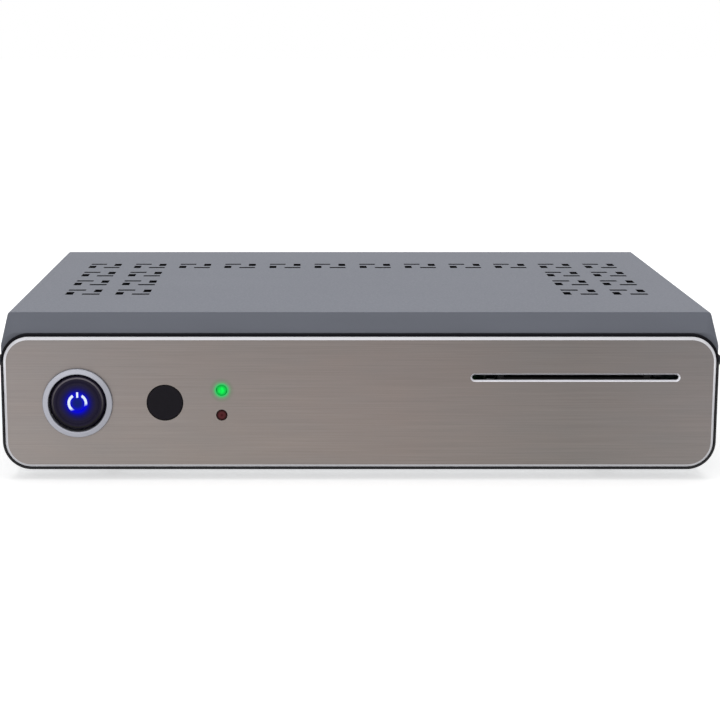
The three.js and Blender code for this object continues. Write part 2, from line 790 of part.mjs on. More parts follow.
// Window and lenses: plugs with a flange behind the frame's floor
function plug(diameter, x, z, tail, segments) {
  const radius = diameter / 2;
  const flangeFront = floorBack + FIT;
  const flangeBack = flangeFront + PLUG_FLANGE;
  const profile = [
    [0, fasciaFace - PLUG_PROUD],
    [radius - PLUG_PROUD, fasciaFace - PLUG_PROUD],
    [radius, fasciaFace],
    [radius, flangeFront],
    [radius + PLUG_FLANGE_WIDTH, flangeFront],
    [radius + PLUG_FLANGE_WIDTH, flangeBack],
    ...tail.map(([tailRadius, end]) => [tailRadius, end ?? flangeBack]),
  ];
  return turnedY(profile, x, z, segments);
}

function infraredWindow() {
  return plug(WINDOW_DIAMETER - 2 * FIT, windowX, midHeight, [[0]], ROUND);
}

function lens(z) {
  const pipe = LENS_PIPE_DIAMETER / 2;
  const end = frontBoardFront - SEAT - LED_HEIGHT - FIT;
  return plug(LENS_DIAMETER, lensX, z, [[pipe], [pipe, end], [0, end]], SMALL_ROUND);
}

// Front board and what is soldered to it
function frontBoard() {
  let board = box(frontBoardLeft, frontBoardRight, frontBoardFront, frontBoardBack,
    frontBoardBottom, frontBoardTop);
  for (const [x, z] of bossPlaces) {
    const radius = PIN_DIAMETER / 2 + FIT;
    board = board.subtract(
      rodY(radius, frontBoardFront - CUT, frontBoardBack + CUT, x, z, SCREW_ROUND));
  }
  return board;
}

function lightChip(z) {
  const half = LED_SIZE / 2;
  const back = frontBoardFront - SEAT;
  return box(lensX - half, lensX + half, back - LED_HEIGHT, back, z - half, z + half);
}

function infraredReceiver() {
  const half = RECEIVER_WIDTH / 2;
  const tall = RECEIVER_TALL / 2;
  const back = frontBoardFront - SEAT;
  const face = back - RECEIVER_DEPTH / 2;
  const can = box(windowX - half, windowX + half, face, back, midHeight - tall, midHeight + tall);
  const lensRadius = half - FIT;
  const tip = back - RECEIVER_DEPTH;
  const bump = [[0, tip], [lensRadius * CROWN_SHARE, tip + lensRadius * (1 - CROWN_SHARE)],
    [lensRadius, face], [lensRadius, face + FIT], [0, face + FIT]];
  return can.add(turnedY(bump, windowX, midHeight));
}

// Ribbon cable from the front board to the main board, with its two plugs
function frontRibbon() {
  const x = frontBoardRight - RIBBON_SIDE - RIBBON_WIDTH / 2;
  const half = RIBBON_WIDTH / 2;
  const highZ = midHeight;
  const rearY = frontBoardBack + RIBBON_REACH;
  const frontPlug = frontBoardBack + SEAT;
  const lowPlug = mainBoardTop + SEAT;
  const start = new THREE.Vector3(x, frontPlug + RIBBON_PLUG / 2, highZ);
  const bend = new THREE.Vector3(x, rearY, highZ - (highZ - lowPlug) * RIBBON_SAG_SHARE);
  const end = new THREE.Vector3(x, rearY, lowPlug + RIBBON_PLUG / 2);
  const level = new THREE.Vector3(x, (start.y + rearY) / 2, highZ);
  const path = new THREE.CatmullRomCurve3([start, level, bend, end]);
  const strip = new THREE.Shape();
  const thin = RIBBON_THICKNESS / 2;
  strip.moveTo(-thin, -half);
  strip.lineTo(thin, -half);
  strip.lineTo(thin, half);
  strip.lineTo(-thin, half);
  const cable = solid(new THREE.ExtrudeGeometry(strip, { steps: RIBBON_STEPS, extrudePath: path }));
  const tall = RIBBON_PLUG / 2;
  const upper = box(x - half - thin, x + half + thin, frontPlug, frontPlug + RIBBON_PLUG,
    highZ - tall, highZ + tall);
  const lower = box(x - half - thin, x + half + thin, rearY - tall, rearY + tall,
    lowPlug, lowPlug + RIBBON_PLUG);
  return cable.add(upper).add(lower);
}

// Card reader on its folded bracket
const readerBottom = cardHeight - READER_HEIGHT / 2;
const readerBack = floorBack + FIT + READER_DEPTH;

function cardReader() {
  const half = READER_WIDTH / 2;
  const front = floorBack + FIT;
  const body = box(cardX - half, cardX + half, front, readerBack,
    readerBottom, readerBottom + READER_HEIGHT);
  const mouth = READER_MOUTH / 2;
  const slot = box(cardX - mouth, cardX + mouth, front - CUT, readerBack - READER_BACK,
    cardHeight - CARD_GAP / 2, cardHeight + CARD_GAP / 2);
  const hatch = box(cardX - mouth / 2, cardX + mouth / 2, front + READER_BACK * 2,
    readerBack - READER_BACK * 2, cardHeight, readerBottom + READER_HEIGHT + CUT);
  return body.subtract(slot).subtract(hatch);
}

function cardBracket() {
  const half = READER_WIDTH / 2 + BRACKET_MARGIN;
  const top = readerBottom - SEAT;
  const back = readerBack + BRACKET_MARGIN;
  const legFront = MAIN_BOARD_FRONT + BRACKET_MARGIN;
  const shelf = box(cardX - half, cardX + half, BRACKET_START, back, top - SHEET, top);
  let body = shelf;
  for (const side of [-1, 1]) {
    const outer = cardX + side * half;
    const inner = outer - side * SHEET;
    const foot = outer - side * BRACKET_FOOT;
    body = body.add(box(Math.min(outer, inner), Math.max(outer, inner), legFront, back,
      onBoard, top));
    body = body.add(box(Math.min(outer, foot), Math.max(outer, foot), legFront, back,
      onBoard, onBoard + SHEET));
  }
  return body;
}

// Bottom chassis: folded tray with vents, standoffs and a front flange
const boardScrewPlaces = [-1, 1].flatMap((side) =>
  [MAIN_BOARD_FRONT + BOARD_SCREW_INSET, mainBoardBack - CAN_DEPTH - BOARD_SCREW_INSET].map((y) =>
    [side * (mainBoardHalf - BOARD_SCREW_INSET), y]));

function baseVents() {
  const spanX = 2 * (innerHalf - BASE_VENT_MARGIN) - BASE_VENT_LENGTH;
  const columns = Math.floor(spanX / BASE_VENT_PITCH) + 1;
  const spanY = HOUSING_DEPTH - 2 * BASE_VENT_MARGIN;
  const rows = Math.floor(spanY / BASE_VENT_ROW_PITCH) + 1;
  const slots = [];
  for (let row = 0; row < rows; row += 1) {
    const y = HOUSING_DEPTH / 2 + (row - (rows - 1) / 2) * BASE_VENT_ROW_PITCH;
    for (let column = 0; column < columns; column += 1) {
      const x = (column - (columns - 1) / 2) * BASE_VENT_PITCH;
      const half = BASE_VENT_LENGTH / 2;
      const tall = BASE_VENT_WIDTH / 2;
      slots.push(boxGeometry(x - half, x + half, y - tall, y + tall, BASE_LIFT - CUT, baseTop + CUT));
    }
  }
  return blocks(slots);
}

function bottomChassis() {
  const flangeFront = Math.max(tongueBack, frontBoardBack + PIN_PROUD) + FIT;
  const sideBack = panelFront - FLANGE - FIT;
  const frontHalf = innerHalf - FLANGE;
  let body = box(-innerHalf, innerHalf, coverFront, panelBack, BASE_LIFT, baseTop);
  body = body.add(box(-frontHalf, frontHalf, flangeFront, flangeFront + SHEET,
    BASE_LIFT, baseTop + FRONT_FLANGE));
  for (const side of [-1, 1]) {
    const ends = [side * innerHalf, side * (innerHalf - SHEET)].sort((a, b) => a - b);
    body = body.add(box(...ends, flangeFront, sideBack, BASE_LIFT, baseTop + SIDE_FLANGE));
  }
  for (const [x, y] of boardScrewPlaces) {
    const profile = [
      [0, BASE_LIFT + SHEET / 2],
      [STANDOFF_DIAMETER / 2, BASE_LIFT + SHEET / 2],
      [STANDOFF_DIAMETER / 2, baseTop],
      [(STANDOFF_DIAMETER - SHEET) / 2, baseTop + STANDOFF],
      [0, baseTop + STANDOFF],
    ];
    body = body.add(turnedZ(profile, x, y, SCREW_ROUND));
    body = body.subtract(
      rodZ(screwHole, BASE_LIFT - CUT, baseTop + STANDOFF + CUT, x, y, SCREW_ROUND));
  }
  for (const x of baseScrewPlaces) {
    body = body.subtract(rodZ(screwHole, BASE_LIFT - CUT, baseTop + CUT, x, baseScrewY, SCREW_ROUND));
  }
  return body.subtract(baseVents());
}

function foot(x, y) {
  const top = BASE_LIFT - SEAT;
  const bottom = BASE_LIFT - FOOT_HEIGHT;
  const wide = FOOT_DIAMETER / 2;
  const narrow = wide - FOOT_TAPER;
  const recess = FOOT_RECESS_DIAMETER / 2;
  const profile = [
    [0, bottom + FOOT_RECESS],
    [recess, bottom + FOOT_RECESS],
    [recess, bottom],
    [narrow, bottom],
    [wide, bottom + FOOT_TAPER],
    [wide, top],
    [0, top],
  ];
  return turnedZ(profile, x, y);
}

// Main board and its large parts
function mainBoard() {
  let board = box(-mainBoardHalf, mainBoardHalf, MAIN_BOARD_FRONT, mainBoardBack,
    mainBoardBottom, mainBoardTop);
  for (const [x, y] of boardScrewPlaces) {
    const hole = rodZ(screwHole, mainBoardBottom - CUT, mainBoardTop + CUT, x, y, SCREW_ROUND);
    board = board.subtract(hole);
  }
  return board;
}

const boardDepth = mainBoardBack - MAIN_BOARD_FRONT;
const chipX = mainBoardHalf * CHIP_ACROSS_SHARE;
const chipY = MAIN_BOARD_FRONT + boardDepth * CHIP_DEPTH_SHARE;

function processorChip() {
  const half = CHIP_SIZE / 2;
  return box(chipX - half, chipX + half, chipY - half, chipY + half, onBoard, onBoard + CHIP_HEIGHT);
}

function heatSink() {
  const half = SINK_SIZE / 2;
  const bottom = onBoard + CHIP_HEIGHT + SEAT;
  const gap = (SINK_SIZE - SINK_FIN) / (SINK_FINS - 1);
  let body = box(chipX - half, chipX + half, chipY - half, chipY + half, bottom, bottom + SINK_BASE);
  for (let fin = 0; fin < SINK_FINS; fin += 1) {
    const left = chipX - half + fin * gap;
    body = body.add(box(left, left + SINK_FIN, chipY - half, chipY + half,
      bottom, bottom + SINK_HEIGHT));
  }
  return body;
}

function capacitor(x, y) {
  const radius = CAPACITOR_DIAMETER / 2;
  const groove = onBoard + CAPACITOR_HEIGHT * (1 - CAPACITOR_GROOVE_SHARE);
  const profile = [
    [0, onBoard],
    [radius, onBoard],
    [radius, groove - CAPACITOR_GROOVE],
    [radius - CAPACITOR_GROOVE, groove],
    [radius, groove + CAPACITOR_GROOVE],
    [radius, onBoard + CAPACITOR_HEIGHT],
    [0, onBoard + CAPACITOR_HEIGHT],
  ];
  return turnedZ(profile, x, y);
}

function tunerCan(x) {
  const half = CAN_WIDTH / 2;
  const back = panelFront - FIT;
  const front = back - CAN_DEPTH;
  const top = onBoard + CAN_HEIGHT;
  const inset = SHEET / 2;
  const can = box(x - half + inset, x + half - inset, front + inset, back, onBoard, top - inset);
  const lid = box(x - half, x + half, front, back, top - CAN_LID, top);
  return can.add(lid);
}

// Rear panel with its cut-outs and flanges
const atShare = (share) => share * innerHalf;
const canPlaces = CAN_SHARES.map(atShare);
const aerialPlaces = canPlaces.flatMap((x) => [x - AERIAL_SPACING / 2, x + AERIAL_SPACING / 2]);
const aerialZ = onBoard + CAN_HEIGHT / 2;
const jackZ = onBoard + JACK_BLOCK_HEIGHT / 2;
const jackPlaces = [-1, 0, 1].map((step) => atShare(JACK_SHARE) + step * JACK_SPACING);
const inletZ = onBoard + INLET_HEIGHT / 2;
const rockerX = atShare(ROCKER_SHARE);
const rockerZ = ROCKER_RISE;
const opticalX = atShare(OPTICAL_SHARE);
const socketBack = panelBack + SOCKET_LIP;

function panelCut(width, height, x, bottom) {
  const half = width / 2 + FIT;
  return box(x - half, x + half, panelFront - CUT, panelBack + CUT,
    bottom - FIT, bottom + height + FIT);
}

function panelHole(radius, x, z, segments) {
  return rodY(radius, panelFront - CUT, panelBack + CUT, x, z, segments);
}

function rearPanel() {
  let body = box(-innerHalf, innerHalf, panelFront, panelBack, innerBottom, innerTop);
  for (const side of [-1, 1]) {
    const ends = [side * innerHalf, side * (innerHalf - SHEET)].sort((a, b) => a - b);
    body = body.add(box(...ends, panelFront - FLANGE, panelFront + SHEET / 2,
      innerBottom, innerTop));
  }
  const cuts = [
    panelCut(HDMI_WIDTH, HDMI_HEIGHT, atShare(HDMI_SHARE), onBoard),
    panelCut(NETWORK_WIDTH, NETWORK_HEIGHT, atShare(NETWORK_SHARE), onBoard),
    panelCut(USB_WIDTH, USB_HEIGHT, atShare(USB_SHARE), onBoard),
    panelCut(OPTICAL_WIDTH, OPTICAL_HEIGHT, opticalX, onBoard),
    panelCut(INLET_WIDTH, INLET_HEIGHT, atShare(INLET_SHARE), onBoard),
    panelCut(ROCKER_BODY_WIDTH, ROCKER_BODY_HEIGHT, rockerX, rockerZ - ROCKER_BODY_HEIGHT / 2),
    ...aerialPlaces.map((x) => panelHole(AERIAL_DIAMETER / 2 + FIT, x, aerialZ, SMALL_ROUND)),
    ...jackPlaces.map((x) => panelHole(JACK_DIAMETER / 2 + FIT, x, jackZ, SMALL_ROUND)),
    ...lipScrewPlaces.map((x) => panelHole(screwHole, x, lipScrewZ, SCREW_ROUND)),
  ];
  for (const cut of cuts) {
    body = body.subtract(cut);
  }
  const through = innerHalf + CUT;
  return body.subtract(rodX(screwHole, -through, through, rearScrewY, rearScrewZ, SCREW_ROUND));
}

function hexagon(acrossFlats) {
  const radius = acrossFlats / Math.sqrt(3);
  const shape = new THREE.Shape();
  for (let corner = 0; corner < 6; corner += 1) {
    const angle = (Math.PI * corner) / 3;
    const move = corner === 0 ? "moveTo" : "lineTo";
    shape[move](radius * Math.cos(angle), radius * Math.sin(angle));
  }
  return shape;
}

function aerialSocket(x) {
  const start = panelFront - FIT + SEAT;
  const end = panelBack + AERIAL_REACH;
  const bore = AERIAL_BORE / 2;
  const radius = AERIAL_DIAMETER / 2;
  const floor = end - AERIAL_BORE_DEPTH;
  const contact = AERIAL_CONTACT / 2;
  const contactFloor = floor - AERIAL_CONTACT_DEPTH;
  const profile = [
    [0, start], [radius, start], [radius, end - FIT], [radius - FIT, end],
    [bore, end], [bore, floor], [contact, floor], [contact, contactFloor], [0, contactFloor],
  ];
  const nutFront = panelBack + SEAT;
  const nut = prismY(hexagon(AERIAL_NUT), nutFront, nutFront + AERIAL_NUT_DEPTH, x, aerialZ);
  return turnedY(profile, x, aerialZ).add(nut);
}

function hdmiShape(inset) {
  const half = HDMI_WIDTH / 2 - inset;
  const top = HDMI_HEIGHT - inset;
  const shape = new THREE.Shape();
  shape.moveTo(half, top);
  shape.lineTo(-half, top);
  shape.lineTo(-half, HDMI_BEVEL + inset);
  shape.lineTo(HDMI_BEVEL - half, inset);
  shape.lineTo(half - HDMI_BEVEL, inset);
  shape.lineTo(half, HDMI_BEVEL + inset);
  return shape;
}

function hdmiSocket() {
  const x = atShare(HDMI_SHARE);
  const front = socketBack - HDMI_DEPTH;
  const shell = prismY(hdmiShape(0), front, socketBack, x, onBoard);
  const hollow = prismY(hdmiShape(HDMI_WALL), front + HDMI_WALL, socketBack + CUT, x, onBoard);
  const half = HDMI_WIDTH / 2 - HDMI_BEVEL;
  const middle = onBoard + HDMI_HEIGHT / 2;
  const tongue = box(x - half, x + half, front, socketBack - HDMI_WALL,
    middle - HDMI_TONGUE / 2, middle + HDMI_TONGUE / 2);
  return shell.subtract(hollow).add(tongue);
}

function networkSocket() {
  const x = atShare(NETWORK_SHARE);
  const front = socketBack - NETWORK_DEPTH;
  const half = NETWORK_WIDTH / 2;
  const body = box(x - half, x + half, front, socketBack, onBoard, onBoard + NETWORK_HEIGHT);
  const mouth = half - NETWORK_WALL;
  const floor = onBoard + NETWORK_WALL + NETWORK_LATCH / 2;
  const opening = box(x - mouth, x + mouth, front + NETWORK_WALL, socketBack + CUT,
    floor, onBoard + NETWORK_HEIGHT - NETWORK_WALL);
  const latch = NETWORK_LATCH / 2;
  const notch = box(x - latch, x + latch, front + NETWORK_WALL, socketBack + CUT,
    onBoard + NETWORK_WALL / 2, floor + CUT);
  return body.subtract(opening).subtract(notch);
}

function usbSocket() {
  const x = atShare(USB_SHARE);
  const front = socketBack - USB_DEPTH;
  const half = USB_WIDTH / 2;
  let body = box(x - half, x + half, front, socketBack, onBoard, onBoard + USB_HEIGHT);
  const mouth = half - USB_WALL;
  const middle = onBoard + USB_HEIGHT / 2;
  const offset = USB_HEIGHT / 2 - USB_WALL - USB_MOUTH / 2;
  for (const z of [middle - offset, middle + offset]) {
    body = body.subtract(box(x - mouth, x + mouth, front + USB_WALL, socketBack + CUT,
      z - USB_MOUTH / 2, z + USB_MOUTH / 2));
    const low = z - USB_MOUTH / 2 + USB_WALL;
    body = body.add(box(x - mouth + USB_WALL, x + mouth - USB_WALL, front, socketBack - USB_WALL,
      low, low + USB_TONGUE));
  }
  return body;
}

// Optical output: a block whose mouth is closed by a sprung shutter hung at its top
const opticalZ = onBoard + OPTICAL_HEIGHT / 2;

function opticalSocket() {
  const front = socketBack - OPTICAL_DEPTH;
  const half = OPTICAL_WIDTH / 2;
  const mouth = OPTICAL_MOUTH / 2;
  const body = box(opticalX - half, opticalX + half, front, socketBack,
    onBoard, onBoard + OPTICAL_HEIGHT);
  const cavity = box(opticalX - mouth, opticalX + mouth, socketBack - OPTICAL_CAVITY,
    socketBack + CUT, opticalZ - mouth, opticalZ + mouth);
  return body.subtract(cavity);
}

function opticalShutter() {
  const half = OPTICAL_MOUTH / 2 - FIT;
  const back = socketBack - SHUTTER_RECESS;
  return box(opticalX - half, opticalX + half, back - SHUTTER_THICKNESS, back,
    opticalZ - half, opticalZ + half);
}

// Sound and picture jacks
function jackBlock() {
  const half = (jackPlaces.length * JACK_SPACING) / 2 - FIT;
  const middle = atShare(JACK_SHARE);
  const back = panelFront - FIT;
  let body = box(middle - half, middle + half, back - JACK_BLOCK_DEPTH, back,
    onBoard, onBoard + JACK_BLOCK_HEIGHT);
  for (const x of jackPlaces) {
    body = body.subtract(
      rodY(JACK_DIAMETER / 2 + FIT, back - JACK_BORE_DEPTH / 2, back + CUT, x, jackZ));
  }
  return body;
}

function jack(x) {
  const radius = JACK_DIAMETER / 2;
  const bore = JACK_BORE / 2;
  const start = panelFront - FIT - JACK_BORE_DEPTH / 2 + FIT;
  const end = panelBack + JACK_REACH;
  const collarFront = panelBack + SEAT;
  const profile = [
    [0, start], [radius, start], [radius, collarFront],
    [JACK_COLLAR / 2, collarFront],
    [JACK_COLLAR / 2, collarFront + JACK_COLLAR_DEPTH],
    [radius, collarFront + JACK_COLLAR_DEPTH],
    [radius, end], [bore, end], [bore, end - JACK_BORE_DEPTH], [0, end - JACK_BORE_DEPTH],
  ];
  return turnedY(profile, x, jackZ);
}

function powerInlet() {
  const x = atShare(INLET_SHARE);
  const half = INLET_WIDTH / 2;
  const body = box(x - half, x + half, socketBack - INLET_DEPTH, socketBack,
    onBoard, onBoard + INLET_HEIGHT);
  const floor = socketBack - INLET_BORE_DEPTH;
  const bore = rodY(INLET_BORE / 2, floor, socketBack + CUT, x, inletZ);
  const pin = rodY(INLET_PIN / 2, floor - FIT, socketBack - INLET_PIN, x, inletZ, SCREW_ROUND);
  return body.subtract(bore).add(pin);
}

// Rocker switch: a bezel and body through the panel, and a two-faced rocker
const rockerHalfWidth = ROCKER_BODY_WIDTH / 2 - ROCKER_WALL - FIT;
const rockerHalfHeight = ROCKER_BODY_HEIGHT / 2 - ROCKER_WALL - 2 * FIT;
const bezelBack = panelBack + SEAT + ROCKER_BEZEL_DEPTH;
const rockerPivotY = bezelBack - ROCKER_PIVOT_DEPTH;
const rockerReach = ROCKER_PROUD + ROCKER_PIVOT_DEPTH;

function rockerFrame() {
  const halfX = ROCKER_BODY_WIDTH / 2;
  const halfZ = ROCKER_BODY_HEIGHT / 2;
  const start = panelBack - ROCKER_BODY_DEPTH;
  let body = box(rockerX - halfX, rockerX + halfX, start, bezelBack, rockerZ - halfZ, rockerZ + halfZ);
  const bezel = outline({
    half: halfX + ROCKER_BEZEL, bottom: rockerZ - halfZ - ROCKER_BEZEL,
    top: rockerZ + halfZ + ROCKER_BEZEL, upper: ROCKER_BEZEL, y: panelBack + SEAT,
  }).map((point) => new THREE.Vector3(point.x + rockerX, point.y, point.z));
  body = body.add(loft([bezel, movedTo(bezel, bezelBack)]));
  const wellX = rockerHalfWidth + FIT;
  const wellZ = rockerHalfHeight + 2 * FIT;
  const wellFloor = rockerPivotY - rockerReach - FIT;
  const pinReach = rockerHalfWidth + ROCKER_PIN_LENGTH + FIT;
  const pinHole = ROCKER_PIN_DIAMETER / 2 + FIT;
  return body
    .subtract(box(rockerX - wellX, rockerX + wellX, wellFloor, bezelBack + CUT,
      rockerZ - wellZ, rockerZ + wellZ))
    .subtract(rodX(pinHole, rockerX - pinReach, rockerX + pinReach, rockerPivotY, rockerZ, SCREW_ROUND));
}

// The rocker's side view: its lower face is flush with the bezel, its upper one stands out
function rocker() {
  const tilt = (ROCKER_TILT * Math.PI) / 180;
  const half = rockerHalfHeight;
  const rise = half * Math.tan(tilt);
  const shape = new THREE.Shape();
  shape.moveTo(-half * Math.cos(tilt), -ROCKER_PIVOT_DEPTH / 2);
  shape.lineTo(0, -ROCKER_PIVOT_DEPTH);
  shape.lineTo(half * Math.cos(tilt), -ROCKER_PIVOT_DEPTH / 2);
  shape.lineTo(half * Math.cos(tilt), ROCKER_PIVOT_DEPTH + rise);
  const low = ROCKER_PIVOT_DEPTH - rise / 2;
  shape.quadraticCurveTo(0, low, -half * Math.cos(tilt), low);
  const options = { depth: 2 * rockerHalfWidth, bevelEnabled: false, curveSegments: CORNER_STEPS };
  const geometry = new THREE.ExtrudeGeometry(shape, options);
  geometry.translate(0, 0, -rockerHalfWidth);
  const basis = new THREE.Matrix4().makeBasis(
    new THREE.Vector3(0, 0, 1), new THREE.Vector3(0, 1, 0), new THREE.Vector3(-1, 0, 0));
  geometry.applyMatrix4(basis);
  geometry.translate(rockerX, rockerPivotY, rockerZ);
  const reach = rockerHalfWidth + ROCKER_PIN_LENGTH;
  const pins = rodX(ROCKER_PIN_DIAMETER / 2, rockerX - reach, rockerX + reach,
    rockerPivotY, rockerZ, SCREW_ROUND);
  return solid(geometry).add(pins);
}

// A domed screw whose shank points along +Y from its head's underside at the origin
function screwGeometry(headDiameter, headHeight, length) {
  const radius = headDiameter / 2;
  const profile = [];
  for (let step = 0; step <= SCREW_DOME_STEPS; step += 1) {
    const angle = (Math.PI * step) / (2 * SCREW_DOME_STEPS);
    profile.push(new THREE.Vector2(radius * Math.sin(angle), -SEAT - headHeight * Math.cos(angle)));
  }
  const shank = SCREW_DIAMETER / 2;
  profile.push(new THREE.Vector2(shank, -SEAT));
  profile.push(new THREE.Vector2(shank, length));
  profile.push(new THREE.Vector2(0, length));
  return new THREE.LatheGeometry(profile, SCREW_ROUND);
}

function screw({
  x, y, z, turnX = 0, turnZ = 0,
  head = SCREW_HEAD, height = SCREW_HEAD_HEIGHT, length = SCREW_LENGTH,
}) {
  const geometry = screwGeometry(head, height, length);
  geometry.rotateX(turnX);
  geometry.rotateZ(turnZ);
  geometry.translate(x, y, z);
  return solid(geometry);
}

// Assembly
add("top_cover", topCover(), finishes.paint);
add("bottom_chassis", bottomChassis(), finishes.steel);
add("rear_panel", rearPanel(), finishes.paint);
add("front_surround", frontSurround(), finishes.surround);
add("front_frame", frontFrame(), finishes.black);
add("fascia_plate", fasciaPlate(), finishes.fascia);
add("power_ring", powerRing(), finishes.chrome);
add("power_button", powerButton(), finishes.cap);
add("switch_plunger", switchPlunger(), finishes.plastic);
add("switch_body", switchBody(), finishes.plastic);
add("infrared_window", infraredWindow(), finishes.window);
add("active_lens", lens(lensHeights[0]), finishes.green);
add("record_lens", lens(lensHeights[1]), finishes.red);
add("front_board", frontBoard(), finishes.board);
add("active_light", lightChip(lensHeights[0]), finishes.green);
add("record_light", lightChip(lensHeights[1]), finishes.red);
add("infrared_receiver", infraredReceiver(), finishes.plastic);
add("front_ribbon", frontRibbon(), finishes.ribbon);
add("card_reader", cardReader(), finishes.plastic);
add("card_bracket", cardBracket(), finishes.steel);
add("main_board", mainBoard(), finishes.board);
add("processor_chip", processorChip(), finishes.chip);
add("heat_sink", heatSink(), finishes.aluminium);
CAPACITOR_SHARES.forEach(([across, deep], index) => {
  const body = capacitor(mainBoardHalf * across, MAIN_BOARD_FRONT + boardDepth * deep);
  add(`capacitor_${index + 1}`, body, finishes.plastic);
});
canPlaces.forEach((x, index) => add(`tuner_can_${index + 1}`, tunerCan(x), finishes.steel));
aerialPlaces.forEach((x, index) =>
  add(`aerial_socket_${index + 1}`, aerialSocket(x), finishes.chrome));
add("hdmi_socket", hdmiSocket(), finishes.steel);
add("network_socket", networkSocket(), finishes.plastic);
add("usb_socket", usbSocket(), finishes.steel);
add("optical_socket", opticalSocket(), finishes.plastic);
add("optical_shutter", opticalShutter(), finishes.plastic);
add("jack_block", jackBlock(), finishes.plastic);
const jackFinishes = [finishes.crimson, finishes.white, finishes.yellow];
jackPlaces.forEach((x, index) => add(`jack_${index + 1}`, jack(x), jackFinishes[index]));
add("power_inlet", powerInlet(), finishes.plastic);
add("rocker_frame", rockerFrame(), finishes.plastic);
add("rocker", rocker(), finishes.plastic);

const footX = coverHalf - FOOT_SIDE_INSET;
const footPlaces = [FOOT_END_INSET, HOUSING_DEPTH - FOOT_END_INSET].flatMap((y) =>
  [-footX, footX].map((x) => [x, y]));
footPlaces.forEach(([x, y], index) => add(`foot_${index + 1}`, foot(x, y), finishes.rubber));

const sides = [["left", -1], ["right", 1]];
for (const [word, side] of sides) {
  add(`front_side_screw_${word}`, screw({
    x: side * sideScrewSeat, y: sideScrewY, z: sideScrewZ, turnZ: (side * Math.PI) / 2,
    head: SIDE_SCREW_HEAD, height: SIDE_SCREW_HEAD_HEIGHT, length: sideScrewSeat - lugInner,
  }), finishes.screw);
  add(`rear_side_screw_${word}`, screw({
    x: side * coverHalf, y: rearScrewY, z: rearScrewZ, turnZ: (side * Math.PI) / 2,
  }), finishes.screw);
}
lipScrewPlaces.forEach((x, index) => add(`lip_screw_${index + 1}`, screw({
  x, y: HOUSING_DEPTH, z: lipScrewZ, turnX: Math.PI,
}), finishes.screw));
baseScrewPlaces.forEach((x, index) => add(`base_screw_${index + 1}`, screw({
  x, y: baseScrewY, z: BASE_LIFT, turnX: Math.PI / 2, length: baseBossTop - BASE_LIFT - FIT,
}), finishes.screw));
boardScrewPlaces.forEach(([x, y], index) => add(`board_screw_${index + 1}`, screw({
  x, y, z: mainBoardTop, turnX: -Math.PI / 2,
}), finishes.steel));

// The origin is on the floor, under the middle of the whole part
const frontReach = fasciaFace - RING_PROUD;
const rearReach = panelBack + Math.max(AERIAL_REACH, JACK_REACH);
receiver.position.set(0, -(frontReach + rearReach) / 2, FOOT_HEIGHT - BASE_LIFT);

const part = new THREE.Group();
part.add(receiver);
part.updateMatrixWorld(true);

export default part;
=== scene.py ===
"""The looks of a desktop satellite television receiver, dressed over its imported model."""

import json
from itertools import product
from math import cos, hypot, radians, sin, sqrt, tau

import bmesh
import bpy
from mathutils import Matrix, Vector


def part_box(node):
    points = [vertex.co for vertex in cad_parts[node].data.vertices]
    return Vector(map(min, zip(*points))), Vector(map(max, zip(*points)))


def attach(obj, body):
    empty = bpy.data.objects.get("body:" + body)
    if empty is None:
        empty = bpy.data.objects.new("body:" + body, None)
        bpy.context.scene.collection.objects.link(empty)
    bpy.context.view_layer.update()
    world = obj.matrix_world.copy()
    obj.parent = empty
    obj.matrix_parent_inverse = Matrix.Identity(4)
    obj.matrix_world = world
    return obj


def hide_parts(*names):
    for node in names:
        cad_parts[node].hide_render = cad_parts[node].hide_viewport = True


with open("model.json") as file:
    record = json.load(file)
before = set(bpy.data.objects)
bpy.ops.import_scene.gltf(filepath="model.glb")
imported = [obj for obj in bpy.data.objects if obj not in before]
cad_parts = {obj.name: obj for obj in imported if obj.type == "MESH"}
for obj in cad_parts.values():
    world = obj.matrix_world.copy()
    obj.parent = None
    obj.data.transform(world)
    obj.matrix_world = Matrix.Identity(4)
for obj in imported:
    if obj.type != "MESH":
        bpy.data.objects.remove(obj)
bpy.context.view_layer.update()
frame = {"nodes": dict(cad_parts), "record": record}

# One millimetre in metres. Lengths below are in millimetres unless a comment says otherwise.
MM = 0.001

# Clearances: pieces that slip into one another, and pieces that seat
FIT = 0.3
SEAT = 0.1

# Front frame, fascia and surround
FRAME_CORNER = 11.2
RIM_WIDTH = 0.9
RIM_DEPTH = 2
FLOOR_INSET = 4.6
FASCIA_BEVEL = 1.1
SURROUND_CORNER = 6
SURROUND_LOWER_CORNER = 3
LEDGE_THICKNESS = 2
LEDGE_WIDTH = 4
LEDGE_CORNER = 5
WALL = 2.2
BOSS_RADIUS = 2.5
BOSS_INSET = 5
PIN_RADIUS = 1.2
LUG_THICKNESS = 3
LUG_HALF = 3.9
SCREW_HOLE = 1.7
PAD_RADIUS = 2.6
SIDE_HEAD_HEIGHT = 2.1

# Folded cover and its pinwheels of four slots
SHEET = 1
COVER_CORNER = 1.1
COVER_LIP = 9
BEND_STEPS = 8
VENT_SIZE = (7, 2.9)
PINWHEEL_ARM = (-3.46, 5.54)
PINWHEEL_PITCH = 20.8
PINWHEEL_ROW_PITCH = 26.7
PINWHEEL_REAR_INSET = 49.9
PINWHEEL_COLUMNS = 12
PINWHEEL_ROWS = 4
PINWHEEL_SIDE_COLUMNS = 2

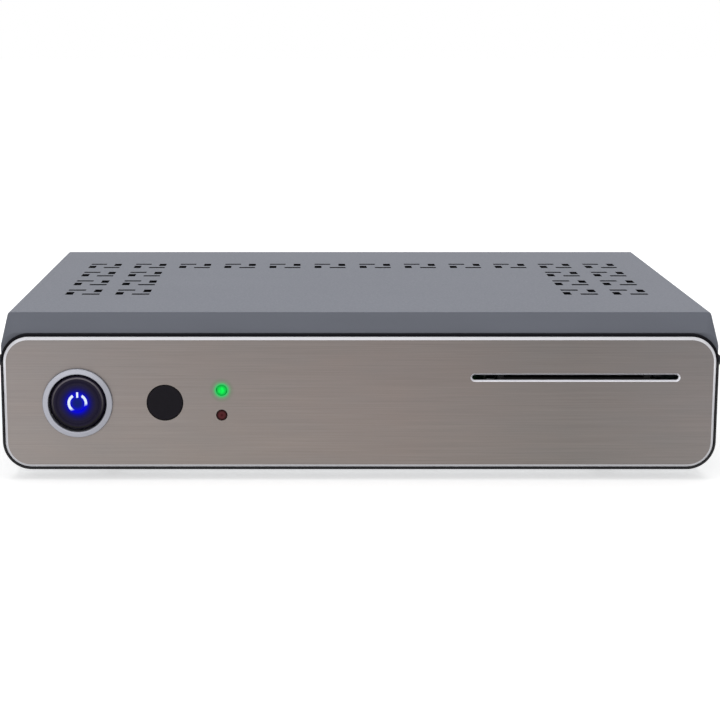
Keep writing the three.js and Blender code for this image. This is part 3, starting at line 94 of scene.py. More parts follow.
# Power button and its sign
RING_BORE = 11.4
RING_SLOPE = 0.35
RING_ROUND = 0.5
RING_SLEEVE_WALL = 1.1
CAP_RADIUS = 10.7
CAP_DOME = 0.5
CAP_ROUND = 1.2
CAP_GROOVE = 0.18
CAP_GROOVE_HALF = 0.6
CAP_GROOVE_RADIUS = 7.9
CAP_FLANGE = 1.2
CAP_FLANGE_WIDTH = 0.8
CAP_STEM_RADIUS = 3
SIGN_RADIUS = 3.35
SIGN_STROKE = 1
SIGN_GAP_DEGREES = 62
SIGN_BAR = (2.2, 4.35)
SIGN_BAR_WIDTH = 0.75
SIGN_RELIEF = 0.05
SIGN_LEAN = 0.37
GLOW_REACH = 11

# Window and indicators
PLUG_FLANGE = 1
PLUG_PROUD = 0.15
# Reach of the green lens's painted glow on the fascia
PAINTED_HALO_REACH = 5

# Card slot
CARD_OPENING = 80.5
CARD_GAP = 2
CARD_BEVEL = 0.65
CARD_INSET = 15.8
CARD_DROP = 17.15

# Feet and screws
FOOT_TAPER = 1
FOOT_RECESS_RADIUS = 3
FOOT_RECESS = 2.5
SCREW_SHANK = 1.4
SCREW_HEAD_HEIGHT = 1.6
CROSS_ARM = 1.5
CROSS_WIDTH = 0.62
CROSS_DEPTH = 0.9

# Connectors. The rows of contacts are their count, pitch and width.
AERIAL_RADIUS = 4.75
AERIAL_BORE = 3.2
AERIAL_BORE_DEPTH = 1.2
AERIAL_CONTACT = 0.9
AERIAL_CONTACT_DEPTH = 6
NUT_FLATS = 12.6
NUT_DEPTH = 2.5
NUT_CHAMFER = 0.5
THREAD_PITCH = 0.79
THREAD_DEPTH = 0.36
THREAD_STEPS = 6
JACK_RADIUS = 4.15
JACK_COLLAR = 5.5
JACK_COLLAR_DEPTH = 1.6
JACK_BORE = 1.6
JACK_BORE_DEPTH = 7
JACK_RIM = 0.6
JACK_ROUND = 0.25
INLET_BORE = 3.15
INLET_BORE_DEPTH = 9.5
INLET_PIN = 1
CONTACT_THICKNESS = 0.08
USB_WALL = 0.9
USB_MOUTH = 5.4
USB_TONGUE = 1.8
USB_CONTACTS = (4, 2.3, 1.1)
HDMI_WALL = 0.6
HDMI_TONGUE = 1.4
HDMI_CONTACTS = (10, 1.0, 0.45)
NETWORK_WALL = 1.9
NETWORK_CONTACTS = (8, 1.02, 0.4)
ROCKER_HOLLOW = 1.96
ROCKER_BAR = (2.4, 5.4)
ROCKER_RING = 1.5
ROCKER_STROKE = 0.5

# Steps of curves, and widths and segments of eased edges
CORNER_STEPS = 20
ROUND = 128
SMALL_ROUND = 64
SCREW_ROUND = 40
CROWN_STEPS = 24
SOFT_EDGE = 0.22
CUT_EDGE = 0.12
PUNCHED_EDGE = 0.15
THIN_EDGE = 0.08
EASE_SEGMENTS = 2
FLAT_FACE_WEIGHT = 100
WELD = 0.0005

# Angles: facets that are joined, edges that are eased, and edges that stay sharp in general,
# on the bent cover, on the plate and on turned metal
FLAT_DEGREES = 0.5
EASE_DEGREES = 30
SHARP_DEGREES = 40
BEND_DEGREES = 50
PLATE_DEGREES = 30
TURNED_DEGREES = 35

# A face lies across an axis when its normal has more than this share along it
ACROSS_SHARE = 0.95
SLOPED_SHARE = 0.3

# Tail's radius and steps of the plugs behind the fascia
PLUGS = {"infrared_window": (0, ROUND), "active_lens": (1.5, SMALL_ROUND),
         "record_lens": (1.5, SMALL_ROUND)}

# Corners of a square from -1 to 1, in order
SQUARE = ((-1, -1), (1, -1), (1, 1), (-1, 1))

# Bodies and slots of the nodes, from the record
record = frame["record"]
BODY_OF = {node: body for body, nodes in record["behaviour"]["bodies"].items() for node in nodes}
SLOT_OF = {part["node"]: part["material_slot"] for part in record["subparts"]}

# Places are measured from the front frame: its face, its middle and its lower edge
frame_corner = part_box("front_frame")[0] / MM
ORIGIN = Vector((0, frame_corner.y, frame_corner.z))


class Box:
    """A node's lowest and highest corner, its middle and half its size."""

    def __init__(self, node):
        self.low, self.high = (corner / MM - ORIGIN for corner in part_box(node))
        self.centre = (self.low + self.high) / 2
        self.half = (self.high - self.low) / 2


# Nodes, planes and edges that the pieces share
cover = Box("top_cover")
panel = Box("rear_panel")
fascia = Box("fascia_plate")
ring = Box("power_ring")
button = Box("power_button")
green_lens = Box("active_lens")
red_lens = Box("record_lens")
board = Box("front_board")
side_screw = Box("front_side_screw_right")
half_frame = Box("front_frame").high.x
frame_top = Box("front_frame").high.z
floor_front = fascia.high.y + FIT
floor_back = Box("card_reader").low.y - FIT
surround_back = cover.low.y - FIT
panel_back = panel.high.y + SEAT
lens_radius = green_lens.half.x - PLUG_FLANGE
slot_centre = Vector((half_frame - CARD_INSET - CARD_OPENING / 2, 0, frame_top - CARD_DROP))


# Finishes

def srgb(*screen):
    """A screen colour of 0 to 255 as the linear colour that a shader takes."""

    def linear(value):
        share = value / 255
        return share / 12.92 if share <= 0.04045 else ((share + 0.055) / 1.055) ** 2.4
    return (*map(linear, screen), 1.0)


def grey(level):
    return (level, level, level, 1.0)


def shaded(color, factor):
    return tuple(min(1.0, channel * factor) for channel in color[:3]) + (1.0,)


def pick(sockets, key):
    """A socket by its place or its identifier."""
    if isinstance(key, int):
        return sockets[key]
    return next(socket for socket in sockets if socket.identifier == key)


class Graph:
    """Adds nodes to a node tree. Their inputs take values or the outputs of other nodes."""

    def __init__(self, tree):
        self.nodes, self.links = tree.nodes, tree.links

    def feed(self, node, inputs):
        for key, value in inputs.items():
            socket = pick(node.inputs, key)
            if isinstance(value, bpy.types.NodeSocket):
                self.links.new(value, socket)
            else:
                socket.default_value = value

    def add(self, kind, inputs=None, output=0, **settings):
        """An output of a new node, by its place or its identifier."""
        node = self.nodes.new(f"ShaderNode{kind}")
        for name, value in settings.items():
            setattr(node, name, value)
        self.feed(node, inputs or {})
        return pick(node.outputs, output)

    def reckon(self, operation, *values):
        return self.add("Math", dict(enumerate(values)), operation=operation)

    def spread(self, source, start=0.3, end=0.7, low=0.0, high=1.0):
        """Source from start to end as low to high."""
        return self.add("MapRange", {
            "Value": source, "From Min": start, "From Max": end, "To Min": low, "To Max": high})

    def blend(self, factor, first, second, mode="MIX"):
        return self.add("Mix", {"Factor_Float": factor, "A_Color": first, "B_Color": second},
                        "Result_Color", data_type="RGBA", blend_type=mode)

    def ramp(self, source, stops):
        """Stops are colours by their place from 0 to 1."""
        color = self.add("ValToRGB", {"Fac": source})
        elements = color.node.color_ramp.elements
        while len(elements) < len(stops):
            elements.new(0.5)
        for element, (position, shade) in zip(elements, stops.items()):
            element.position = position
            element.color = (*shade[:3], 1)
        return color

    def place(self):
        return self.add("TexCoord", output="Object")

    def part(self, vector, axis):
        return self.add("SeparateXYZ", {"Vector": vector}, axis)

    def noise(self, grain, detail=2.0, rough=0.5):
        """Cloudy noise from 0 to 1. Grain is the size of its cells, one for all axes or three."""
        sizes = grain if isinstance(grain, tuple) else (grain,) * 3
        scale = [1 / (size * MM) for size in sizes]
        scaled = self.add("Mapping", {"Vector": self.place(), "Scale": scale})
        return self.add("TexNoise", {
            "Vector": scaled, "Scale": 1.0, "Detail": detail, "Roughness": rough})

    def along(self, axis, start, end):
        """Place along an axis, as 0 at start to 1 at end."""
        offset = ORIGIN["XYZ".index(axis)]
        ends = ((place + offset) * MM for place in (start, end))
        return self.spread(self.part(self.place(), axis), *ends)

    def away(self, point, reach):
        """Distance from a line along Y through point, as 0 there to 1 at reach."""
        point = point + ORIGIN
        flat = self.add("Mapping", {"Vector": self.place(), "Scale": (1 / MM, 0, 1 / MM)})
        length = self.add("VectorMath", {0: flat, 1: (point.x, 0, point.z)}, "Value",
                          operation="DISTANCE")
        return self.spread(length, 0.0, reach)


# Materials by name
finishes = {}


class Finish(Graph):
    """A principled material with procedural detail wired into it, kept by its name."""

    def __init__(self, name, color, roughness, metallic=0.0, specular=0.5):
        material = finishes[name] = bpy.data.materials.new(name)
        material.use_nodes = True
        super().__init__(material.node_tree)
        self.shader = self.nodes["Principled BSDF"]
        self.color = color
        self.normal = None
        self.feed(self.shader, {"Base Color": color, "Roughness": roughness,
                                "Metallic": metallic, "Specular IOR Level": specular})

    def paint(self, color, *others):
        """Makes the product of some colours the base colour."""
        for other in others:
            color = self.blend(1.0, color, other, "MULTIPLY")
        self.feed(self.shader, {"Base Color": color})
        return color

    def tint(self, source, low, high):
        """Varies the base colour between two shades of itself."""
        return self.paint(self.blend(source, shaded(self.color, low), shaded(self.color, high)))

    def gloss(self, source, low, high):
        self.feed(self.shader, {"Roughness": self.spread(source, low=low, high=high)})

    def glow(self, color, strength=1.0):
        self.feed(self.shader, {"Emission Color": color, "Emission Strength": strength})

    def bump(self, source, depth):
        """Relief of depth millimetres, added to what is there."""
        under = {"Normal": self.normal} if self.normal else {}
        self.normal = self.add("Bump", {"Height": source, "Distance": depth * MM, **under})
        self.feed(self.shader, {"Normal": self.normal})


def textured(name, color, roughness, tint, shades, polish, stray, relief, depth,
             band=(0.3, 0.7), metallic=0.0, specular=0.5, fade=()):
    """A finish of three noises, each given as its grain and detail.

    Tint runs the colour between two shades, over a band of its noise. Polish moves the
    roughness by stray, and relief raises the surface by depth. Fade paints light and shade by
    darkening the colour along an axis: it is the axis, two ends and two levels.
    """
    finish = Finish(name, color, roughness, metallic, specular)
    noises = {each: finish.noise(*each) for each in {tint, polish, relief}}
    tone = finish.tint(finish.spread(noises[tint], *band), *shades)
    if fade:
        *ends, first, last = fade
        finish.paint(tone, finish.blend(finish.along(*ends), grey(first), grey(last)))
    finish.gloss(noises[polish], *(roughness + change for change in stray))
    finish.bump(noises[relief], depth)


# Kinds of textured finish: moulded plastic with flow and spark texture, polished plastic with
# dust and waviness, plated metal with polishing haze, rolled sheet with spangle, and rubber
MOULDED = dict(tint=((35, 35, 12), 2), shades=(0.96, 1.04), polish=((35, 35, 12), 2),
               stray=(-0.04, 0.06), relief=(0.3, 2), depth=0.02, specular=0.4)
SMOOTH = dict(tint=(0.6, 4), shades=(0.95, 1.15), band=(0.45, 0.75), polish=(0.6, 4),
              stray=(0.0, 0.06), relief=(9, 1), depth=0.015)
PLATED = dict(tint=(2.5, 4), shades=(0.93, 1.04), polish=(2.5, 4), stray=(0.0, 0.1),
              relief=(2.5, 4), depth=0.004, metallic=1.0)
ROLLED = dict(tint=(3.5, 3), shades=(0.85, 1.1), polish=((0.12, 30, 0.12), 3),
              stray=(-0.08, 0.12), relief=((0.12, 30, 0.12), 3), depth=0.006, metallic=1.0)
RUBBER = dict(tint=(0.4, 4), shades=(0.85, 1.2), polish=(0.4, 4), stray=(-0.08, 0.08),
              relief=(0.4, 4), depth=0.05, specular=0.25)

# Textured finishes: screen colour, roughness, and kind with what differs from it
TEXTURED = {
    "surround_plastic": ((98, 101, 110), 0.5, MOULDED | dict(depth=0.012, specular=0.2)),
    "frame_plastic": ((16, 15, 19), 0.45, SMOOTH | dict(specular=0.22)),
    # Painted shade: a darker, duller copy of the frame plastic for the frame's upper part
    "frame_top_plastic": ((13, 13, 18), 0.45, SMOOTH | dict(specular=0.06)),
    # The ring's fade is painted light: lighter at the left, where more light falls
    "ring_chrome": ((152, 153, 161), 0.48, PLATED | dict(
        fade=("X", button.centre.x - RING_BORE, button.centre.x + RING_BORE, 1, 0.84))),
    # Painted highlight on the cap's shoulder: light at the top, fading to dark below the middle
    "cap_shoulder": ((108, 103, 110), 0.3, SMOOTH | dict(specular=0.1, fade=(
        "Z", button.centre.z - CAP_RADIUS / 2, button.centre.z + CAP_RADIUS, 0.06, 1))),
    "window_plastic": ((22, 20, 25), 0.4, SMOOTH | dict(specular=0.06)),
    "chassis_steel": ((178, 180, 182), 0.4, ROLLED),
    "sink_aluminium": ((186, 186, 188), 0.45, ROLLED),
    # Painted shade: near black on the walls and eased edges of the vent slots
    "punched_edge": ((16, 16, 18), 0.8, MOULDED | dict(depth=0.01, specular=0.02)),
    "black_plastic": ((34, 34, 36), 0.45, MOULDED),
    "ribbon_plastic": ((200, 200, 196), 0.5, MOULDED),
    "socket_metal": ((182, 180, 175), 0.24, PLATED),
    "socket_dark": ((34, 33, 35), 0.6, MOULDED | dict(depth=0.01, specular=0.2)),
    "gilt_contacts": ((214, 178, 96), 0.25, PLATED),
    "insulator": ((226, 224, 216), 0.4, MOULDED | dict(depth=0.01)),
    "jack_red": ((176, 30, 30), 0.35, MOULDED | dict(depth=0.008)),
    "jack_white": ((224, 224, 220), 0.35, MOULDED | dict(depth=0.008)),
    "jack_yellow": ((222, 176, 34), 0.35, MOULDED | dict(depth=0.008)),
    "print_white": ((214, 214, 212), 0.5, MOULDED | dict(depth=0.004)),
    "foot_rubber": ((34, 34, 35), 0.8, RUBBER),
    "screw_black": ((48, 48, 50), 0.35, PLATED),
    "screw_zinc": ((190, 190, 188), 0.3, PLATED),
}

# Colour ramps: colours by their place from 0 to 1
# Fascia: its warm tone, lighter at the left and greyer to the right as painted light
FASCIA_TONES_AND_SIDE_LIGHT = {0: srgb(138, 132, 129), 0.28: srgb(130, 123, 119), 0.55: srgb(126, 118, 114),
                0.8: srgb(117, 112, 109), 1: srgb(122, 117, 115)}
# Fascia: darker to the top as painted shade
FASCIA_TOP_SHADE = {0: (1, 1, 1), 0.5: (0.93, 0.92, 0.93), 1: (0.82, 0.82, 0.84)}
# Painted glow of the green lens on the fascia: tinted greener and glowing near it
PAINTED_HALO_TINTS = {0: (0.1, 0.9, 0.3), 0.48: (0.2, 0.95, 0.45), 0.62: (0.66, 1, 0.8),
              0.8: (0.84, 0.98, 0.86), 1: (1, 1, 1)}
PAINTED_HALO_GLOW = {0: (0, 0.34, 0.05), 0.48: (0, 0.34, 0.05), 0.62: (0, 0.09, 0.008),
             0.78: (0, 0.004, 0), 1: (0, 0, 0)}
GREEN_GLOW = {0: (0, 0.9, 0.08), 0.45: (0, 0.88, 0.08), 1: (0.004, 0.36, 0.05)}
# The red lens is unlit: its glow is painted light, a brighter ring of painted reflection and a
# rim of painted shade
RED_PAINTED_SHINE = {0: (0.01, 0, 0), 0.16: (0.014, 0, 0), 0.36: (0.055, 0.01, 0.012),
            0.62: (0.045, 0.012, 0.013), 0.84: (0.006, 0.001, 0.001), 1: (0, 0, 0)}
# Cap: bluer near the sign as painted light, with a dark ring at the groove as painted shade
CAP_PAINTED_LIGHT_AND_SHADE = {0: (0.1, 0.3, 1), 0.4: (0.1, 0.15, 0.8), 0.6: (0.85, 0.85, 1),
              0.7: (0.95, 0.95, 1), 0.76: (0.5, 0.48, 0.6), 0.82: (1, 1, 1)}
CAP_GLOW = {0: (0.002, 0.01, 0.14), 0.14: (0.002, 0.006, 0.2), 0.26: (0, 0, 0.58),
            0.35: (0, 0, 0.52), 0.41: (0, 0, 0.27), 0.47: (0, 0, 0.12),
            0.55: (0, 0, 0.045), 0.66: (0, 0, 0.01), 1: (0, 0, 0)}
SIGN_GLOW = {0: (0, 0, 0.62), 0.16: (0.001, 0.001, 0.7), 0.32: (0.75, 0.86, 1),
             1: (0.84, 0.92, 1)}

# Fascia: grain, detail and roughness of its brushing, and the shades that it runs between
BRUSH_LINES = ((55, 5, 0.42), 3, 0.6)
BRUSH_HAIRS = ((16, 5, 0.13), 2)
BRUSH_PATCHES = ((26, 5, 9), 2)
LINE_LEVEL = 0.83
HAIR_LEVEL = 0.88
PATCH_WARM = (1, 0.985, 0.975, 1)
PATCH_COOL = (0.97, 0.98, 0.985, 1)


def sheet_paint(name, color):
    """Satin powder coat: fine orange peel and a faint cloudiness."""
    finish = Finish(name, color, roughness=0.55, specular=0.2)
    peel = finish.noise(grain=0.9, detail=3)
    specks = finish.noise(grain=0.35, detail=1)
    cloud = finish.noise(grain=(70, 45, 45))
    both = (finish.spread(source, high=0.5) for source in (cloud, specks))
    finish.tint(finish.reckon("ADD", *both), low=0.965, high=1.035)
    finish.gloss(peel, low=0.5, high=0.62)
    finish.bump(peel, depth=0.02)
    finish.bump(specks, depth=0.006)


def board_resin(name, color):
    """Solder mask over copper: darker tracks show through as soft lines."""
    finish = Finish(name, color, roughness=0.35)
    ways = (finish.spread(finish.noise(grain, detail=0), high=0.5, start=0.5, end=0.53)
            for grain in ((14, 0.8, 0.8), (0.8, 14, 14)))
    tracks = finish.reckon("ADD", *ways)
    finish.tint(tracks, low=0.75, high=1.35)
    finish.gloss(finish.noise(grain=0.5), low=0.3, high=0.42)
    finish.bump(tracks, depth=0.03)


def brushed_fascia(name, color):
    """Warm anodised plate, brushed sideways.

    Painted light makes it lighter at the left and greyer to the right, painted shade makes it
    darker to the top, and a painted glow of the green lens lies round that lens.
    """
    finish = Finish(name, color, roughness=0.36, metallic=1.0)
    lines, hairs = finish.noise(*BRUSH_LINES), finish.noise(*BRUSH_HAIRS)
    patches = finish.spread(finish.noise(*BRUSH_PATCHES))
    # Distance from the green lens, for its painted glow on the plate
    painted_halo = finish.away(green_lens.centre, PAINTED_HALO_REACH)
    finish.paint(
        finish.ramp(finish.along("X", fascia.low.x, fascia.high.x), FASCIA_TONES_AND_SIDE_LIGHT),
        finish.ramp(finish.along("Z", fascia.low.z, fascia.high.z), FASCIA_TOP_SHADE),
        finish.blend(finish.spread(lines, start=0.25, end=0.75), grey(LINE_LEVEL), grey(1)),
        finish.blend(finish.spread(hairs), grey(HAIR_LEVEL), grey(1)),
        finish.blend(patches, PATCH_WARM, PATCH_COOL),
        finish.ramp(painted_halo, PAINTED_HALO_TINTS))
    finish.gloss(hairs, low=0.44, high=0.56)
    finish.bump(lines, depth=0.012)
    finish.bump(hairs, depth=0.006)
    finish.glow(finish.ramp(painted_halo, PAINTED_HALO_GLOW))


def cut_edge(name, color):
    """Edge with fine cutter lines along it, and a painted highlight round its upper corners."""
    finish = Finish(name, color, roughness=0.35, metallic=1.0)
    lines = finish.noise(grain=(8, 0.08, 0.08))
    tone = finish.tint(finish.spread(lines), low=0.94, high=1.03)
    sideways = finish.part(finish.add("TexCoord", output="Normal"), "X")
    turn = finish.spread(finish.reckon("ABSOLUTE", sideways), start=0.04, end=0.3)
    rise = finish.along("Z", fascia.centre.z, fascia.high.z)
    finish.paint(finish.blend(finish.reckon("MULTIPLY", turn, rise), tone, shaded(color, 1.5)))
    finish.gloss(lines, low=0.38, high=0.5)
    finish.bump(lines, depth=0.003)


def lit_cap(name, color):
    """Dark smoked cap with blue light soaking out round the strokes of the sign.

    Its base colour is painted bluer near the sign as painted light, and darker at the groove as
    painted shade.
    """
    finish = Finish(name, color, roughness=0.3, specular=0.04)
    away = finish.away(button.centre, GLOW_REACH)
    cloud = finish.noise(grain=5)
    smoked = finish.tint(finish.spread(cloud), low=0.92, high=1.08)
    finish.paint(smoked, finish.ramp(away, CAP_PAINTED_LIGHT_AND_SHADE))
    finish.gloss(cloud, low=0.26, high=0.36)
    finish.glow(finish.ramp(away, CAP_GLOW))


def lit_sign(name, color):
    """Strokes that burn out to white at the upper left and stay blue at the lower right."""
    finish = Finish(name, color, roughness=0.4, specular=0.02)
    middle = button.centre
    rise = finish.along("Z", middle.z - SIGN_RADIUS, middle.z + SIGN_RADIUS)
    side = finish.along("X", middle.x - SIGN_RADIUS, middle.x + SIGN_RADIUS)
    lean = finish.spread(side, 0.0, 1.0, SIGN_LEAN / 2, -SIGN_LEAN / 2)
    ripple = finish.noise(grain=0.8)
    finish.glow(finish.ramp(finish.reckon("ADD", rise, lean), SIGN_GLOW),
                finish.spread(ripple, low=0.92, high=1.08))


def lit_lens(name, color, centre, stops):
    """A round lens whose glow runs through the stops from its middle to its rim.

    The red lens is unlit, so its glow is painted light.
    """
    finish = Finish(name, color, roughness=0.25, specular=0.05)
    ripple = finish.noise(grain=0.9, detail=1)
    finish.glow(finish.ramp(finish.away(centre, lens_radius), stops),
                finish.spread(ripple, low=0.9, high=1.1))
    finish.bump(ripple, depth=0.02)


for name, (color, roughness, looks) in TEXTURED.items():
    textured(name, srgb(*color), roughness, **looks)
for build, name, color, *more in (
    (sheet_paint, "cover_paint", (118, 121, 131)),
    (board_resin, "board_resin", (28, 92, 48)),
    (brushed_fascia, "fascia_metal", (130, 123, 119)),
    (cut_edge, "bright_edge", (176, 176, 180)),
    # The slot's upward lip is a brighter copy of the cut edge, as painted highlight
    (cut_edge, "slot_lip", (206, 206, 211)),
    (lit_cap, "button_plastic", (35, 31, 42)),
    (lit_sign, "sign_light", (4, 4, 20)),
    (lit_lens, "lens_green", (6, 40, 16), green_lens.centre, GREEN_GLOW),
    (lit_lens, "lens_red", (50, 18, 20), red_lens.centre, RED_PAINTED_SHINE),
):
    build(name, srgb(*color), *more)


# Mesh tools

def drop(obj):
    bpy.data.objects.remove(obj, do_unlink=True)


def baked(obj):
    """Turns the object's modifiers into its mesh."""
    graph = bpy.context.evaluated_depsgraph_get()
    mesh = bpy.data.meshes.new_from_object(
        obj.evaluated_get(graph), preserve_all_data_layers=True, depsgraph=graph)
    obj.modifiers.clear()
    obj.data = mesh
    return obj


def placed(data, name="piece"):
    obj = bpy.data.objects.new(name, data)
    bpy.context.scene.collection.objects.link(obj)
    return obj


def body_of_faces(vertices, faces):
    """A closed mesh from vertices in millimetres, with its faces turned outwards."""
    mesh = bpy.data.meshes.new("piece")
    mesh.from_pydata([(Vector(vertex) + ORIGIN) * MM for vertex in vertices], [], faces)
    built = bmesh.new()
    built.from_mesh(mesh)
    bmesh.ops.recalc_face_normals(built, faces=built.faces)
    built.to_mesh(mesh)
    built.free()
    return placed(mesh)


def block(low, high, placement=Matrix()):
    corners = [placement @ Vector(corner) for corner in product(*zip(low, high))]
    sides = [(0, 1, 3, 2), (4, 6, 7, 5), (0, 4, 5, 1), (2, 3, 7, 6), (0, 2, 6, 4), (1, 5, 7, 3)]
    return body_of_faces(corners, sides)


def axis_at(point, direction):
    """Placement whose own Z runs along direction from point."""
    turn = Vector(direction).to_track_quat("Z", "Y").to_matrix().to_4x4()
    return Matrix.Translation(point) @ turn


def back_axis(centre):
    """Placement whose Z runs back through centre from the front plane."""
    return axis_at((centre.x, 0, centre.z), (0, 1, 0))


def turned(profile, placement, segments=SMALL_ROUND, closed=False, radial=None):
    """A body of revolution. The profile holds pairs of radius and place along the axis."""
    vertices, rings, faces = [], [], []
    for radius, along in profile:
        count = segments if radius else 1
        rings.append([len(vertices) + step % count for step in range(segments)])
        for step in range(count):
            angle = tau * step / segments
            reach = radial(radius, angle, along) if radial else radius
            point = Vector((reach * cos(angle), reach * sin(angle), along))
            vertices.append(placement @ point)
    if closed:
        rings.append(rings[0])
    for (near, far), step in product(zip(rings, rings[1:]), range(segments)):
        following = (step + 1) % segments
        face = [near[step], near[following], far[following], far[step]]
        face = [corner for place, corner in enumerate(face) if corner != face[place - 1]]
        if len(face) > 2:
            faces.append(face)
    return body_of_faces(vertices, faces)


def stairs(*marks):
    """Points of a profile with right angles, from radii and places by turns."""
    return [pair[::-1] if turn % 2 else pair for turn, pair in enumerate(zip(marks, marks[1:]))]


def rod(start, end, radius, segments=SMALL_ROUND):
    """A round bar between two points."""
    start, end = Vector(start), Vector(end)
    profile = stairs(0, 0, radius, (end - start).length, 0)
    return turned(profile, axis_at(start, end - start), segments)


def tube(placement, outer, inner, low, high):
    profile = [(inner, low), (outer, low), (outer, high), (inner, high)]
    return turned(profile, placement, closed=True)


def quarter(count):
    """Sine and cosine from nought to a right angle."""
    angles = [radians(90 * step / count) for step in range(count + 1)]
    return [(sin(angle), cos(angle)) for angle in angles]


def outline(half, bottom, top, upper, lower, y, inset=0):
    """A rounded outline across and up at one depth, drawn in by inset on all sides."""
    half, bottom, top = half - inset, bottom + inset, top - inset
    upper, lower = upper - inset, lower - inset
    corners = [
        (half - lower, bottom + lower, lower, -90),
        (half - upper, top - upper, upper, 0),
        (upper - half, top - upper, upper, 90),
        (lower - half, bottom + lower, lower, 180),
    ]
    loop = []
    for x, z, radius, start in corners:
        for step in range(CORNER_STEPS + 1):
            angle = radians(start + 90 * step / CORNER_STEPS)
            loop.append(Vector((x + radius * cos(angle), y, z + radius * sin(angle))))
    return loop


def moved(loop, y):
    return [Vector((point.x, y, point.z)) for point in loop]


def blended(first, second, share):
    return [near.lerp(far, share) for near, far in zip(first, second)]


def lofted(loops, closed=False):
    """Joins loops of the same count, capped at both ends or closed on itself."""
    count, levels = len(loops[0]), len(loops)
    faces = []
    for level, side in product(range(levels if closed else levels - 1), range(count)):
        near, far = level * count, (level + 1) % levels * count
        following = (side + 1) % count
        faces.append((near + side, near + following, far + following, far + side))
    if not closed:
        faces += [range(count), range((levels - 1) * count, levels * count)]
    return body_of_faces([point for loop in loops for point in loop], faces)


def combine(obj, tools, operation="DIFFERENCE"):
    """Cuts the tools out of obj, or adds them to it, and removes them."""
    for tool in tools:
        modifier = obj.modifiers.new("combine", "BOOLEAN")
        modifier.operation = operation
        modifier.solver = "EXACT"
        modifier.object = tool
    baked(obj)
    for tool in tools:
        drop(tool)
    return obj


def joined(obj, *pieces):
    """Adds the pieces' own meshes to obj and removes them."""
    built = bmesh.new()
    for piece in (obj, *pieces):
        built.from_mesh(piece.data)
    built.to_mesh(obj.data)
    built.free()
    for piece in pieces:
        drop(piece)
    return obj


def eased(obj, width, angle=EASE_DEGREES):
    """Rounds every edge sharper than angle by width."""
    bevel = obj.modifiers.new("ease", "BEVEL")
    bevel.limit_method = "ANGLE"
    bevel.angle_limit = radians(angle)
    bevel.width = width * MM
    bevel.segments = EASE_SEGMENTS
    bevel.use_clamp_overlap = False
    return baked(obj)


def added(obj, name, body, slot, *names, chosen=None, smooth=SHARP_DEGREES):
    """A piece that rides with a body and shows the named finishes, or else its slot's.

    Chosen picks a finish by a face's centre and normal. Edges sharper than smooth stay sharp,
    and flat faces stay flat beside their rounded edges.
    """
    obj.name = name
    obj.data.materials.clear()
    for finish in names or (slot,):
        obj.data.materials.append(finishes[finish])
    for face in obj.data.polygons:
        face.material_index = chosen(face.center / MM - ORIGIN, face.normal) if chosen else 0
    obj.data.shade_smooth()
    obj.data.set_sharp_from_angle(angle=radians(smooth))
    weighted = obj.modifiers.new("flat faces", "WEIGHTED_NORMAL")
    weighted.keep_sharp = True
    weighted.weight = FLAT_FACE_WEIGHT
    baked(obj)
    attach(obj, body)


def stands_for(obj, node, *names, **looks):
    """Makes obj the shown form of a node, on its body and with its slot."""
    added(obj, f"fine_{node}", BODY_OF[node], SLOT_OF[node], *names, **looks)
    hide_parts(node)


def refined(node, *names, width=CUT_EDGE, **looks):
    """A node's own shape, with its flat faces joined again and its edges eased."""
    obj = placed(frame["nodes"][node].data.copy())
    built = bmesh.new()
    built.from_mesh(obj.data)
    bmesh.ops.remove_doubles(built, verts=built.verts, dist=WELD * MM)
    bmesh.ops.dissolve_limit(
        built, angle_limit=radians(FLAT_DEGREES), verts=built.verts, edges=built.edges)
    built.to_mesh(obj.data)
    built.free()
    stands_for(eased(obj, width), node, *names, **looks)


# Cover: folded sheet, lip and punched vents

def folded_section():
    """Pairs of outer and inner points, from the cover's left edge over the top to its right."""
    pairs = [((cover.low.x, cover.low.z), (cover.low.x + SHEET, cover.low.z))]
    middle_z = cover.high.z - COVER_CORNER
    for side, start in ((-1, 180), (1, 90)):
        middle_x = side * (cover.high.x - COVER_CORNER)
        for step in range(BEND_STEPS + 1):
            angle = radians(start - 90 * step / BEND_STEPS)
            pairs.append([
                (middle_x + radius * cos(angle), middle_z + radius * sin(angle))
                for radius in (COVER_CORNER, COVER_CORNER - SHEET)])
    pairs.append(((cover.high.x, cover.low.z), (cover.high.x - SHEET, cover.low.z)))
    return pairs


def vent_tools():
    """The slots of every pinwheel, as one body of separate blocks."""
    slots = []
    for row, column in product(range(PINWHEEL_ROWS), range(PINWHEEL_COLUMNS)):
        from_side = min(column, PINWHEEL_COLUMNS - 1 - column)
        if row and from_side >= PINWHEEL_SIDE_COLUMNS:
            continue
        x = (column - (PINWHEEL_COLUMNS - 1) / 2) * PINWHEEL_PITCH
        y = cover.high.y - PINWHEEL_REAR_INSET - row * PINWHEEL_ROW_PITCH
        (arm_x, arm_y), (size_x, size_y) = PINWHEEL_ARM, VENT_SIZE
        for _ in range(4):
            low = (x + arm_x - size_x / 2, y + arm_y - size_y / 2, cover.high.z - 2 * SHEET)
            high = (x + arm_x + size_x / 2, y + arm_y + size_y / 2, cover.high.z + SHEET)
            slots.append(block(low, high))
            arm_x, arm_y, size_x, size_y = -arm_y, arm_x, size_y, size_x
    return joined(*slots)


def screw_way(node, way):
    """A tool for a screw's hole, through the sheet under its head."""
    centre = Box(node).centre
    reach = Vector(way) * 4 * SCREW_HEAD_HEIGHT
    return rod(centre - reach, centre + reach, SCREW_HOLE, SCREW_ROUND)


def on_vent_wall_shade(centre, normal):
    """One for the walls and eased edges of the vents, which take the painted shade."""
    in_sheet = cover.high.z - SHEET < centre.z < cover.high.z
    between = (cover.low.y + SHEET < centre.y < cover.high.y - COVER_LIP
               and abs(centre.x) < cover.high.x - COVER_CORNER)
    return int(in_sheet and between and abs(normal.z) < ACROSS_SHARE)


